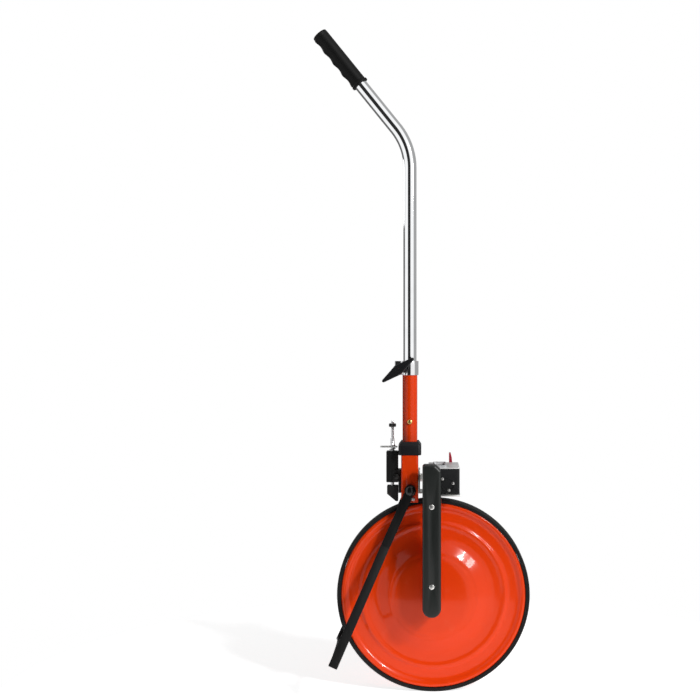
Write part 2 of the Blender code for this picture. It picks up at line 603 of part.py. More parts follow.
def build_clamp(mats):
    inner, outer = OUTER_TUBE_R + GAP, OUTER_TUBE_R + 1.9
    ear_end = CLAMP_SCREW_Y - 6.0
    slit, ear = 1.4, 3.9
    start = math.degrees(math.asin(ear / outer))
    open_half = math.degrees(math.asin(slit / inner))
    outline = arc(0.0, COLUMN_Y, outer, -90 + start, 270 - start, 22)
    outline += [(-ear, ear_end + 2.0), (-ear + 0.8, ear_end), (-slit, ear_end)]
    outline += arc(0.0, COLUMN_Y, inner, 270 - open_half, -90 + open_half, 22)
    outline += [(slit, ear_end), (ear - 0.8, ear_end), (ear, ear_end + 2.0)]
    band = add("clamp_band", prism(outline, "Z", *CLAMP_Z), mats["chrome"])
    axis = (0.0, CLAMP_SCREW_Y, CLAMP_SCREW_Z)
    drill(band, "X", axis[1:], 3.1, -ear - 3.0, ear + 3.0)
    screw = headed_screw("X", axis[1], axis[2], -ear - GAP - 3.6, 18.0, 5.0, 2.7, 3.6, 6)
    add("clamp_screw", screw, mats["chrome"], axis)
    hub = [(ear + GAP, 0.0), (ear + GAP, 4.3), (11.0, 7.2), (20.0, 8.6), (31.0, 8.8), (34.5, 7.0),
           (35.5, 0.0)]
    knob = add("wing_knob", turned(hub, "X", Vector(axis), 20, closed=False), mats["black"], axis)
    tilt = math.degrees(WING_TILT)
    hub_place = Vector(axis[1:])
    wing = []
    for way in (0, 180):
        turn = math.radians(tilt + way)
        along = Vector((math.cos(turn), math.sin(turn)))
        across = Vector((-along.y, along.x))
        end = hub_place + along * (WING_LENGTH / 2 - WING_TIP_R)
        wing.append(tuple(hub_place + along * 4.0 - across * WING_ROOT_HALF))
        wing += arc(*end, WING_TIP_R, tilt + way - 80, tilt + way + 80, 6)
        wing.append(tuple(hub_place + along * 4.0 + across * WING_ROOT_HALF))
    blade = prism(wing, "X", *WING_X)
    edges = [e for e in blade.edges if abs(e.verts[0].co.x - e.verts[1].co.x) < 1e-6]
    bmesh.ops.bevel(blade, geom=edges, offset=1.2, segments=1, profile=0.5, affect="EDGES")
    shape_with(knob, blade, "UNION")
    drill(knob, "X", axis[1:], 3.0, -2.0, 18.4, 12)


def handle_station(distance):
    """Centre and upward normal at a distance along the upper straight line."""
    along = Vector((0, -math.sin(BEND_ANGLE), math.cos(BEND_ANGLE)))
    normal = Vector((0, math.cos(BEND_ANGLE), math.sin(BEND_ANGLE)))
    return Vector((0, COLUMN_Y, BEND_Z)) + along * distance, normal


def build_handle(mats):
    pivot = (0.0, COLUMN_Y, HANDLE_END_Z)
    tangent = BEND_R * math.tan(BEND_ANGLE / 2)
    stations = [(Vector((0, COLUMN_Y, HANDLE_END_Z)), Vector((0, 1, 0)), HANDLE_R)]
    arc_centre = Vector((0, COLUMN_Y - BEND_R, BEND_Z - tangent))
    steps = 7
    for i in range(steps + 1):
        turn = BEND_ANGLE * i / steps
        normal = Vector((0, math.cos(turn), math.sin(turn)))
        stations.append((arc_centre + normal * BEND_R, normal, HANDLE_R))
    stations.append((*handle_station(GRIP_END - 5.0), HANDLE_R))
    tube = add("handle_tube", swept(stations, 16, HANDLE_R - HANDLE_WALL), mats["chrome"], pivot)
    width = 5.0
    slot = rounded_box((COLUMN_Y - width / 2, SLOT_Z[0]), (COLUMN_Y + width / 2, SLOT_Z[1]), width / 2 - 0.01)
    shape_with(tube, prism(slot, "X", 3.0, HANDLE_R + 4.0), "DIFFERENCE")
    add("handle_grip", grip_mesh(), mats["grip"], pivot)


def grip_mesh():
    """A moulded grip: a cup over the tube's end with four finger hollows below."""
    sides = 14
    length = GRIP_END - GRIP_START
    flange = 4.0
    bm = bmesh.new()

    def ring(distance, top_r, low_r):
        centre, normal = handle_station(distance)
        verts = []
        for i in range(sides):
            angle = 2 * math.pi * i / sides
            lift = math.sin(angle)
            radius = low_r + (top_r - low_r) * (lift + 1) / 2
            across = Vector((math.cos(angle), 0, 0)) + normal * lift
            verts.append(bm.verts.new(centre + across * radius))
        return verts

    bore = HANDLE_R + GAP
    rings = [ring(GRIP_END - 4.0, bore, bore), ring(GRIP_START, bore, bore), ring(GRIP_START, 14.6, 14.6),
             ring(GRIP_START + flange, 14.6, 14.6), ring(GRIP_START + flange + 1.2, 12.8, 13.4)]
    count = 16
    for i in range(1, count):
        share = i / count
        hollow = 1.5 * (0.5 - 0.5 * math.cos(2 * math.pi * 4 * share))
        rings.append(ring(GRIP_START + flange + 1.2 + (length - flange - 6.2) * share,
                          12.8, 14.2 - hollow))
    rings += [ring(GRIP_END - 5.0, 12.6, 13.4), ring(GRIP_END - 1.6, 12.0, 12.6), ring(GRIP_END, 9.0, 9.4)]
    for one, two in zip(rings, rings[1:]):
        for i in range(sides):
            j = (i + 1) % sides
            bm.faces.new((one[i], one[j], two[j], two[i]))
    bm.faces.new(rings[0])
    bm.faces.new(rings[-1])
    bmesh.ops.recalc_face_normals(bm, faces=bm.faces)
    return bm


# ---------------------------------------------------------------- kick stand

def stop_place():
    """The stop pin lies against the leg's front edge, just below the pivot."""
    reach = STAND_WIDTH / 2 + GAP + STOP_R
    down, back = math.cos(STAND_ANGLE), math.sin(STAND_ANGLE)
    return (STAND_Y - STOP_ALONG * back + reach * down, STAND_Z - STOP_ALONG * down - reach * back)


def lean(bm):
    """Turns a stand part from hanging straight down to its place behind the wheel."""
    pivot = Vector((0, STAND_Y, STAND_Z))
    bmesh.ops.rotate(bm, verts=bm.verts, cent=pivot, matrix=Matrix.Rotation(-STAND_ANGLE, 3, "X"))
    return bm


def build_stand(mats):
    pivot = (0.0, STAND_Y, STAND_Z)
    half = STAND_WIDTH / 2
    eye = STAND_EYE_R
    shoulder = math.degrees(math.acos(half / eye))
    foot_z = STAND_Z - STAND_LENGTH
    knee_z = STAND_Z - STAND_STRAIGHT
    for side, way in (("right", 1.0), ("left", -1.0)):
        inner = STAND_TOP_X - STAND_THICK / 2
        line = [(way * inner, STAND_Z + eye + 1.0), (way * inner, knee_z), (way * STAND_FOOT_X, foot_z)]
        leg = lean(prism(strip(line, way * STAND_THICK), "Y", STAND_Y - eye - 1.0, STAND_Y + eye + 1.0))
        leg = add("stand_leg_" + side, leg, mats["black"], pivot)
        ends = arc(STAND_Y, STAND_Z, eye, -shoulder, 180 + shoulder, 10)
        ends += arc(STAND_Y, foot_z + half, half, 180, 360, 8)
        trim = lean(prism(ends, "X", -130.0, 130.0))
        shape_with(leg, trim, "INTERSECT")
        drill(leg, "X", (STAND_Y, STAND_Z), 4.3, way * STAND_TOP_X - 8.0, way * STAND_TOP_X + 8.0)
    slope = (STAND_FOOT_X - STAND_TOP_X) / (STAND_LENGTH - STAND_STRAIGHT)
    bar_z = foot_z + 8.0
    end_x = STAND_FOOT_X - 8.0 * slope - 0.5
    bar = [(-end_x, bar_z), (-12.0, bar_z + 9.0), (12.0, bar_z + 9.0), (end_x, bar_z)]
    bar = lean(prism(strip(bar, -STAND_THICK), "Y", STAND_Y - half + 1.0, STAND_Y + half - 1.0))
    add("stand_foot_bar", bar, mats["black"], pivot)
    outer = STAND_TOP_X + STAND_THICK / 2 + GAP
    head = [(-outer - 3.4, 0.0), (-outer - 3.0, 4.0), (-outer - 1.4, 7.2), (-outer, 8.0), (-outer, 4.0)]
    profile = head + [(-x, r) for x, r in reversed(head)]
    pin = turned(profile, "X", Vector(pivot), 14, closed=False)
    add("stand_pivot_pin", pin, mats["dark"])
    y, z = stop_place()
    ends = [(-27.6, 0.0), (-27.6, STOP_R), (27.6, STOP_R), (27.6, 0.0)]
    add("stand_stop_pin", turned(ends, "X", Vector((0, y, z)), 12, closed=False), mats["chrome"])


# ---------------------------------------------------------------- brake

def build_brake(mats):
    rear = COLUMN_Y - COLUMN_DEPTH / 2 - GAP
    half = BLOCK_HALF_WIDTH
    cheek = half + GAP
    face, ear = rear - BRACKET_THICK, rear - 14.0
    outline = [(-cheek, ear), (-cheek, face), (cheek, face), (cheek, ear), (cheek + 1.8, ear),
               (cheek + 1.8, rear), (-cheek - 1.8, rear), (-cheek - 1.8, ear)]
    bracket = prism(outline, "Z", 346.0, 366.0)
    bracket = add("brake_bracket", bracket, mats["dark"], smooth=False)
    shape_with(bracket, box((-half - 2.1, face, 328.0), (half + 2.1, rear, 347.0)), "UNION")
    y, z = BRAKE_BOLT
    drill(bracket, "X", (y, z), 2.8, -20.0, 20.0, 12)
    (b0, b1), (z0, z1) = BLOCK_Y, BLOCK_Z
    block = prism(rounded_box((-half, b0), (half, b1), 2.0), "Z", z0, z1)
    block = add("brake_block", block, mats["black"])
    drill(block, "Z", (0.0, BRAKE_Y), BRAKE_ROD_R + GAP, z0 - 3.0, z1 + 3.0)
    drill(block, "Z", (0.0, BRAKE_Y), 6.2, SPRING_SEAT_Z, z1 + 3.0, 20)
    drill(block, "X", (y, z), 2.8, -20.0, 20.0, 12)
    bolt = headed_screw("X", y, z, cheek + 1.8 + GAP + 2.8, -cheek - 4.6, 4.8, 2.5, 2.8, 12)
    add("brake_bolt", bolt, mats["dark"])

    axis = (0.0, BRAKE_Y, BLOCK_Z[1])
    seat = TAB_Z[1] + GAP
    rod = turned([(PAD_Z[1] - 6.0, 0.0), (PAD_Z[1] - 6.0, BRAKE_ROD_R), (seat, BRAKE_ROD_R), (seat, 4.8),
                  (seat + 1.5, 4.8), (seat + 3.4, 3.4), (seat + 4.0, BRAKE_ROD_R),
                  (445.4, BRAKE_ROD_R), (446.0, BRAKE_ROD_R - 0.6), (446.0, 0.0)],
                 "Z", Vector((0, BRAKE_Y, 0)), 16, closed=False)
    add("brake_rod", rod, mats["dark"], axis)
    knob = turned([(436.0, BRAKE_ROD_R + GAP), (436.0, 5.4), (436.6, 6.0), (440.9, 6.0), (441.5, 5.4),
                   (441.5, BRAKE_ROD_R + GAP)], "Z", Vector((0, BRAKE_Y, 0)), 16)
    add("brake_knob", knob, mats["black"], axis)
    tab = add("brake_tab", prism(rounded_box((-8.0, -88.0), (8.0, -59.5), 2.5), "Z", *TAB_Z),
              mats["zinc"], axis)
    drill(tab, "Z", (0.0, BRAKE_Y), BRAKE_ROD_R + GAP, TAB_Z[0] - 3.0, TAB_Z[1] + 3.0)
    (p0, p1), (q0, q1) = PAD_Y, PAD_Z
    wedge = [(p0, q1), (p0, q0 + 12.0), (p0 + 2.0, q0 + 10.5), (-62.0, q0), (p1, q0), (p1, q1)]
    pad = add("brake_pad", prism(wedge, "X", -half, half), mats["black"], axis)
    drill(pad, "Z", (0.0, BRAKE_Y), BRAKE_ROD_R + GAP, PAD_Z[1] - 6.4, PAD_Z[1] + 3.0)
    add("brake_spring", spring_mesh(), mats["steel"], (0.0, BRAKE_Y, SPRING_SEAT_Z))


def spring_mesh():
    """A round-wire coil standing in the block's counterbore, under the tab."""
    wire, radius, turns, per_turn, sides = 0.65, 4.6, 5.0, 10, 5
    low = SPRING_SEAT_Z + GAP + wire
    high = TAB_Z[0] - GAP - wire
    bm = bmesh.new()
    rings = []
    count = int(turns * per_turn)
    for i in range(count + 1):
        angle = 2 * math.pi * i / per_turn
        outward = Vector((math.cos(angle), math.sin(angle), 0))
        centre = Vector((0, BRAKE_Y, low + (high - low) * i / count)) + outward * radius
        ring = []
        for k in range(sides):
            turn = 2 * math.pi * k / sides
            around = outward * math.cos(turn) + Vector((0, 0, 1)) * math.sin(turn)
            ring.append(bm.verts.new(centre + around * wire))
        rings.append(ring)
    for one, two in zip(rings, rings[1:]):
        for i in range(sides):
            j = (i + 1) % sides
            bm.faces.new((one[i], one[j], two[j], two[i]))
    bm.faces.new(rings[0])
    bm.faces.new(rings[-1])
    bmesh.ops.recalc_face_normals(bm, faces=bm.faces)
    return bm


def build_all():
    clear_scene()
    mats = {
        "orange": make_material("orange_paint", (0.80, 0.065, 0.008), 0.35),
        "black": make_material("black_plastic", (0.012, 0.012, 0.012), 0.45),
        "dark": make_material("black_oxide_steel", (0.03, 0.03, 0.03), 0.4, 0.8),
        "grip": make_material("grip_vinyl", (0.01, 0.01, 0.01), 0.55),
        "rubber": make_material("rubber", (0.012, 0.012, 0.012), 0.7),
        "brown": make_material("brown_plastic", (0.04, 0.018, 0.01), 0.5),
        "chrome": make_material("chrome", (0.72, 0.72, 0.74), 0.08, 1.0),
        "bright": make_material("bright_steel", (0.75, 0.75, 0.76), 0.22, 1.0),
        "steel": make_material("steel", (0.56, 0.56, 0.57), 0.3, 1.0),
        "zinc": make_material("zinc_plate", (0.6, 0.6, 0.58), 0.35, 1.0),
        "brass": make_material("brass", (0.65, 0.45, 0.14), 0.3, 1.0),
        "crimson": make_material("crimson_plastic", (0.55, 0.008, 0.035), 0.35),
        "white": make_material("drum_plastic", (0.75, 0.74, 0.70), 0.45),
        "clear": make_material("clear_acrylic", (0.9, 0.92, 0.92), 0.05, 0.0, 0.25),
    }
    build_wheel(mats)
    build_fork(mats)
    build_drive(mats)
    build_counter_plate(mats)
    build_counter(mats)
    build_column(mats)
    build_handle(mats)
    build_stand(mats)
    build_brake(mats)


build_all()
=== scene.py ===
"""Looks of the measuring wheel: finished pieces and finishes around the fixed frame.

Lengths are in millimetres, and MM turns them into metres when a mesh is made.
+X is the drive cover's side, +Y is forward, and +Z is up.
"""

import json
import math

import bmesh
import bpy
from mathutils import Matrix, Vector


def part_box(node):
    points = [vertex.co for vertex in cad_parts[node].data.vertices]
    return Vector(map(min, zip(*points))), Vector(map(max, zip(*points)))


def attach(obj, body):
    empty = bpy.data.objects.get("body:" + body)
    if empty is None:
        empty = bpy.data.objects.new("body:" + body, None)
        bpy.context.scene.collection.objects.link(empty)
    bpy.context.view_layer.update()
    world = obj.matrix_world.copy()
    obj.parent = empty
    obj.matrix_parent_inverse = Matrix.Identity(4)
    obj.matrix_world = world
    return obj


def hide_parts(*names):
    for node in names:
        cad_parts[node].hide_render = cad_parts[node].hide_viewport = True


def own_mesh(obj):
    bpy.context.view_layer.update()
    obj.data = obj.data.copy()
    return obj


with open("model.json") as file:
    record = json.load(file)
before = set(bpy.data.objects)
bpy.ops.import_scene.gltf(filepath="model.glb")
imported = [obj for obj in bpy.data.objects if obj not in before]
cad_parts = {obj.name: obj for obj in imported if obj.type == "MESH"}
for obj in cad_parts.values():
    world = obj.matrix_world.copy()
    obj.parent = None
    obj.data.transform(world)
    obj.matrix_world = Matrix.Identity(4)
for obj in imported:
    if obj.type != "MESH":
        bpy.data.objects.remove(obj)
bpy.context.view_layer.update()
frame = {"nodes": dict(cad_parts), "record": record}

MM = 0.001
RECORD = frame["record"]
BODY_OF = {node: body for body, nodes in RECORD["behaviour"]["bodies"].items() for node in nodes}
SLOT_OF = {row["node"]: row["material_slot"] for row in RECORD["subparts"]}


def span(node):
    """A node's lowest and highest corners, in millimetres."""
    low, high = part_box(node)
    return low / MM, high / MM


def middle(node):
    low, high = span(node)
    return (low + high) / 2


# ------------------------------------------------------------------ outlines

def arc(a, b, radius, start, end, steps):
    """Points on an arc; angles are in degrees."""
    points = []
    for i in range(steps + 1):
        angle = math.radians(start + (end - start) * i / steps)
        points.append((a + radius * math.cos(angle), b + radius * math.sin(angle)))
    return points


def circle(a, b, radius, steps=48):
    return arc(a, b, radius, 0.0, 360.0 * (steps - 1) / steps, steps - 1)


def rounded_box(low, high, radius, steps=8):
    (a0, b0), (a1, b1) = low, high
    points = arc(a1 - radius, b0 + radius, radius, -90, 0, steps)
    points += arc(a1 - radius, b1 - radius, radius, 0, 90, steps)
    points += arc(a0 + radius, b1 - radius, radius, 90, 180, steps)
    points += arc(a0 + radius, b0 + radius, radius, 180, 270, steps)
    return points


def fillet(points, radius, steps=5, closed=True):
    """An outline or open line with its corners rounded."""
    made = []
    count = len(points)
    for i, point in enumerate(points):
        if not closed and i in (0, count - 1):
            made.append(tuple(point))
            continue
        here = Vector(point)
        before = Vector(points[i - 1]) - here
        after = Vector(points[(i + 1) % count]) - here
        turn = before.angle(after, math.pi)
        reach = min(radius / max(math.tan(turn / 2), 1e-3), before.length * 0.49, after.length * 0.49)
        if math.degrees(turn) > 172:
            made.append(tuple(here))
            continue
        start, end = here + before.normalized() * reach, here + after.normalized() * reach
        for k in range(steps + 1):
            t = k / steps
            made.append(tuple(start * (1 - t) ** 2 + here * 2 * t * (1 - t) + end * t * t))
    return made


def smooth_line(points, steps=6):
    """A smooth curve through the points of an open line."""
    ends = [points[0]] + list(points) + [points[-1]]
    made = []
    for p0, p1, p2, p3 in zip(ends, ends[1:], ends[2:], ends[3:]):
        for k in range(steps):
            t = k / steps
            made.append(tuple(
                0.5 * (2 * b + (c - a) * t + (2 * a - 5 * b + 4 * c - d) * t * t
                       + (3 * b - a - 3 * c + d) * t ** 3)
                for a, b, c, d in zip(p0, p1, p2, p3)))
    return made + [tuple(points[-1])]


def offset_line(points, distance):
    """An open line moved sideways, with mitred corners."""
    moved = []
    for i, point in enumerate(points):
        here = Vector(point)
        into = here - Vector(points[i - 1]) if i else Vector(points[1]) - here
        out = Vector(points[i + 1]) - here if i < len(points) - 1 else into
        normals = [Vector((-way.y, way.x)).normalized() for way in (into, out)]
        mitre = (normals[0] + normals[1]).normalized()
        moved.append(tuple(here + mitre * (distance / max(mitre.dot(normals[0]), 0.4))))
    return moved


def strip(points, thickness):
    """Closed outline of a sheet whose one face runs along an open line."""
    return list(points) + offset_line(points, thickness)[::-1]


# ------------------------------------------------------------------ solids

def to_space(axis, along, a, b):
    """The point at a place along an axis, with the two other coordinates in their order."""
    if axis == "X":
        return Vector((along, a, b))
    if axis == "Y":
        return Vector((a, along, b))
    return Vector((a, b, along))


def close_up(bm):
    bmesh.ops.recalc_face_normals(bm, faces=bm.faces)
    return bm


def skin_rings(bm, rings, close=True):
    """Quads from each ring of vertices to the next, with an end face on the first and last."""
    for one, two in zip(rings, rings[1:]):
        for i in range(len(one)):
            j = (i + 1) % len(one)
            bm.faces.new((one[i], one[j], two[j], two[i]))
    if close:
        bm.faces.new(rings[0])
        bm.faces.new(rings[-1])


def lofted(axis, loops):
    """A closed solid through loops of (place along the axis, outline)."""
    bm = bmesh.new()
    rings = [[bm.verts.new(to_space(axis, along, a, b)) for a, b in line] for along, line in loops]
    skin_rings(bm, rings)
    return close_up(bm)


def prism(outline, axis, low, high):
    return lofted(axis, [(low, outline), (high, outline)])


def padded_prism(outline, axis, low, high, radius, steps=4, both=True):
    """A prism with rounded rims. The outline is a function of how far it is inset."""
    rim = []
    for i in range(steps + 1):
        t = math.radians(90 * i / steps)
        rim.append((radius * (1 - math.sin(t)), outline(radius * (1 - math.cos(t)))))
    foot = [(low + depth, line) for depth, line in rim[::-1]] if both else [(low, outline(0.0))]
    return lofted(axis, foot + [(high - depth, line) for depth, line in rim])


def inset_box(low, high, radius):
    """A rounded box's outline, as a function of how far it is inset."""
    def outline(inset):
        return rounded_box((low[0] + inset, low[1] + inset), (high[0] - inset, high[1] - inset),
                           max(radius - inset, 0.05))
    return outline


def block(low, high, radius=0.0, rim=0.0):
    """A box with rounded upright edges and rims."""
    outline = inset_box(low, high, radius)
    if rim:
        return padded_prism(outline, "Z", low[2], high[2], rim)
    return prism(outline(0.0), "Z", low[2], high[2])


def turned(profile, axis, centre, steps=96):
    """A turned solid from (place along the axis, radius) points.

    A profile that starts and ends on the axis stays open there; any other is closed to a ring.
    """
    bm = bmesh.new()
    side = Vector((0, 0, 1)) if axis == "X" else Vector((1, 0, 0))
    line = to_space(axis, 1.0, 0.0, 0.0)
    verts = [bm.verts.new(centre + line * a + side * r) for a, r in profile]
    solid_core = profile[0][1] == 0.0 and profile[-1][1] == 0.0
    pairs = zip(verts, verts[1:]) if solid_core else zip(verts, verts[1:] + verts[:1])
    edges = [bm.edges.new(pair) for pair in pairs]
    bmesh.ops.spin(bm, geom=verts + edges, cent=centre, axis=line, angle=2 * math.pi,
                   steps=steps, use_merge=True)
    bmesh.ops.remove_doubles(bm, verts=bm.verts, dist=0.0005)
    return close_up(bm)


def swept(stations, sides, bore=None):
    """A rod or tube through (centre, normal, radius) stations in a plane of constant X."""
    bm = bmesh.new()

    def ring(centre, normal, radius):
        made = []
        for i in range(sides):
            angle = 2 * math.pi * i / sides
            across = Vector((math.cos(angle), 0, 0)) + normal * math.sin(angle)
            made.append(bm.verts.new(centre + across * radius))
        return made

    outer = [ring(*station) for station in stations]
    if bore is None:
        skin_rings(bm, outer)
    else:
        inner = [ring(centre, normal, bore) for centre, normal, _ in stations]
        skin_rings(bm, [inner[0]] + outer + inner[::-1], close=False)
    return close_up(bm)


def coil(x, y, low, high, radius, wire, turns, per_turn=40, sides=12):
    """A round-wire compression spring standing along Z."""
    bm = bmesh.new()
    rings = []
    count = int(turns * per_turn)
    section = [2 * math.pi * k / sides for k in range(sides)]
    for i in range(count + 1):
        angle = 2 * math.pi * i / per_turn
        outward = Vector((math.cos(angle), math.sin(angle), 0))
        core = Vector((x, y, low + (high - low) * i / count)) + outward * radius
        rings.append([bm.verts.new(core + (outward * math.cos(t) + Vector((0, 0, math.sin(t)))) * wire)
                      for t in section])
    skin_rings(bm, rings)
    return close_up(bm)


def mesh_from(name, bm):
    """A mesh with a bmesh's shape; the bmesh goes."""
    mesh = bpy.data.meshes.new(name)
    bm.to_mesh(mesh)
    bm.free()
    return mesh


def placed(name, data):
    """An object in the scene that holds a mesh, curve, light or camera."""
    obj = bpy.data.objects.new(name, data)
    bpy.context.scene.collection.objects.link(obj)
    return obj


def temporary(bm):
    return placed("temporary", mesh_from("temporary", bm))


def evaluated(obj):
    """The object's mesh with its modifiers applied, as a bmesh; the object goes."""
    bpy.context.view_layer.update()
    mesh = bpy.data.meshes.new_from_object(obj.evaluated_get(bpy.context.evaluated_depsgraph_get()))
    bm = bmesh.new()
    bm.from_mesh(mesh)
    bpy.data.meshes.remove(mesh)
    bpy.data.objects.remove(obj)
    return bm


def combine(base, other, operation="DIFFERENCE"):
    """Cuts with, joins or keeps what two solids share."""
    target, tool = temporary(base), temporary(other)
    modifier = target.modifiers.new("combine", "BOOLEAN")
    modifier.operation = operation
    modifier.object = tool
    result = evaluated(target)
    bpy.data.objects.remove(tool)
    return result


def bevelled(bm, width, segments=3, angle=38.0):
    obj = temporary(bm)
    modifier = obj.modifiers.new("bevel", "BEVEL")
    modifier.width = width
    modifier.segments = segments
    modifier.limit_method = "ANGLE"
    modifier.angle_limit = math.radians(angle)
    modifier.miter_outer = "MITER_ARC"
    return evaluated(obj)


def moulded(bm, voxel, rounds):
    """Melts joined solids into one skin with soft inner corners, as a moulding has."""
    obj = temporary(bm)
    remesh = obj.modifiers.new("remesh", "REMESH")
    remesh.mode = "VOXEL"
    remesh.voxel_size = voxel
    smooth = obj.modifiers.new("smooth", "SMOOTH")
    smooth.factor = 0.5
    smooth.iterations = rounds
    return evaluated(obj)


def cad_copy(node):
    """A CAD node's mesh as a bmesh in millimetres, its flats made whole again."""
    bm = bmesh.new()
    bm.from_mesh(frame["nodes"][node].data)
    bmesh.ops.scale(bm, verts=bm.verts, vec=(1 / MM, 1 / MM, 1 / MM))
    bmesh.ops.remove_doubles(bm, verts=bm.verts, dist=0.002)
    bmesh.ops.dissolve_limit(bm, angle_limit=math.radians(0.6), verts=bm.verts, edges=bm.edges)
    return close_up(bm)


def drilled(bm, axis, place, radius, low, high, steps=32):
    """Drills a round hole. Every cutter runs a few millimetres past the faces that it cuts."""
    return combine(bm, prism(circle(*place, radius, steps), axis, low, high))


def hexagon(axis, a, b, low, high, corner_r, chamfer=0.8):
    """A hexagon nut or head with the turned chamfers that cut its corners."""
    face_r, edge_r = corner_r * math.cos(math.pi / 6) * 0.97, corner_r + 0.2
    hexa = prism(arc(a, b, corner_r, 0, 300, 5), axis, low, high)
    cone = [(low, 0.0), (low, face_r), (low + chamfer, edge_r), (high - chamfer, edge_r), (high, face_r),
            (high, 0.0)]
    return combine(hexa, turned(cone, axis, to_space(axis, 0.0, a, b), 48), "INTERSECT")


def bolt_solid(axis, a, b, head, corner_r, chamfer, shank):
    """A bolt from its head's two ends along the axis and its shank's profile."""
    rod = turned(shank, axis, to_space(axis, 0.0, a, b), 32)
    return combine(hexagon(axis, a, b, *head, corner_r, chamfer), rod, "UNION")


def thread_profile(start, end, radius, pitch=1.0, depth=0.45):
    """Profile points of a threaded stretch, drawn as close ridges."""
    count = max(int(abs(end - start) / pitch), 1)
    step = (end - start) / count
    points = []
    for i in range(count):
        points += [(start + step * i, radius - depth), (start + step * (i + 0.5), radius)]
    return points + [(end, radius - depth)]


# Radii of the clearance holes
M4_HOLE, M5_HOLE, M6_HOLE, M8_HOLE = 2.3, 2.8, 3.1, 4.3
SHAFT_HOLE = 2.6


# ------------------------------------------------------------------ pieces

def piece(name, bm, material, body=None, slot=None, smooth_angle=32.0):
    """Turns a solid in millimetres into a finished piece that rides on its body.

    A piece with a CAD node's name stands for that node, takes its body from it and hides it.
    """
    bmesh.ops.scale(bm, verts=bm.verts, vec=(MM, MM, MM))
    mesh = mesh_from(name, bm)
    mesh.shade_smooth()
    mesh.set_sharp_from_angle(angle=math.radians(smooth_angle))
    mesh.materials.append(material)
    obj = placed(name, mesh)
    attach(obj, body or BODY_OF[name])
    slot or SLOT_OF[name]
    if name in BODY_OF:
        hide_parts(name)
    return obj


# ------------------------------------------------------------------ finishes

class Value:
    """A socket that takes part in arithmetic: each operator adds its Math node."""

    def __init__(self, finish, socket):
        self.finish = finish
        self.socket = socket

    def maths(self, operation, *terms):
        return self.finish.node("ShaderNodeMath", {"operation": operation}, dict(enumerate(terms)))

    def __add__(self, other):
        return self.maths("ADD", self, other)

    def __sub__(self, other):
        return self.maths("SUBTRACT", self, other)

    def __rsub__(self, other):
        return self.maths("SUBTRACT", other, self)

    def __mul__(self, other):
        return self.maths("MULTIPLY", self, other)

    __radd__ = __add__
    __rmul__ = __mul__

    def size(self):
        return self.maths("ABSOLUTE", self)

    def ramp(self, low, high):
        """0 below low, 1 above high, smooth between."""
        return self.finish.node("ShaderNodeMapRange", {"interpolation_type": "SMOOTHSTEP"},
                                {"Value": self, "From Min": low, "From Max": high})


class Nodes:
    """A node tree in the making, which a finish and the room's light share."""

    def __init__(self, tree, coordinates):
        self.nodes = tree.nodes
        self.links = tree.links
        self.place = self.node("ShaderNodeTexCoord", output=coordinates)

    def node(self, kind, settings=None, sockets=None, output=0):
        """Adds a node: settings first, then the values or links of its sockets."""
        made = self.nodes.new(kind)
        for key, value in (settings or {}).items():
            setattr(made, key, value)
        for key, value in (sockets or {}).items():
            self.feed(made.inputs[key], value)
        return Value(self, made.outputs[output]) if made.outputs else None

    def feed(self, socket, value):
        if isinstance(value, Value):
            self.links.new(value.socket, socket)
        else:
            socket.default_value = value

    def axis_part(self, name):
        return self.node("ShaderNodeSeparateXYZ", None, {0: self.place}, name)


class Finish(Nodes):
    """A material in the making, with the textures that several finishes share."""

    def __init__(self, name, colour, roughness, metallic=0.0, **constants):
        self.material = bpy.data.materials.new(name)
        self.material.use_nodes = True
        super().__init__(self.material.node_tree, "Object")
        self.shader = self.nodes["Principled BSDF"]
        self.put("Base Color", (*colour, 1.0))
        self.put("Roughness", roughness)
        self.put("Metallic", metallic)
        for socket, value in constants.items():
            self.put(socket.replace("_", " "), value)

    def put(self, name, value):
        self.feed(self.shader.inputs[name], value)

    def noise(self, scale, detail=3.0, stretch=None):
        """Soft noise, 0 to 1. A stretch gives its scale along each axis."""
        where = self.place
        if stretch:
            where = self.node("ShaderNodeVectorMath", {"operation": "MULTIPLY"}, {0: where, 1: stretch})
        return self.node("ShaderNodeTexNoise", None,
                         {"Vector": where, "Scale": scale, "Detail": detail, "Roughness": 0.55})

    def cells(self, scale, output="Distance", feature="F1"):
        return self.node("ShaderNodeTexVoronoi", {"feature": feature},
                         {"Vector": self.place, "Scale": scale}, output)

    def mixed(self, amount, first, second):
        """One colour going over to another."""
        start, end = (part if isinstance(part, Value) else (*part, 1.0) for part in (first, second))
        return self.node("ShaderNodeMix", {"data_type": "RGBA"}, {0: amount, 6: start, 7: end}, 2)

    def finished(self, colour, roughness, height, depth, strength=0.5):
        """Sets the varying colour and roughness and bumps of a depth in metres, and gives the material."""
        if colour:
            self.put("Base Color", colour)
        self.put("Roughness", roughness)
        self.put("Normal", self.node("ShaderNodeBump", None,
                                     {"Height": height, "Distance": depth, "Strength": strength}))
        return self.material


def shade(colour, factor):
    """A colour made darker or lighter."""
    return tuple(min(c * factor, 1.0) for c in colour)


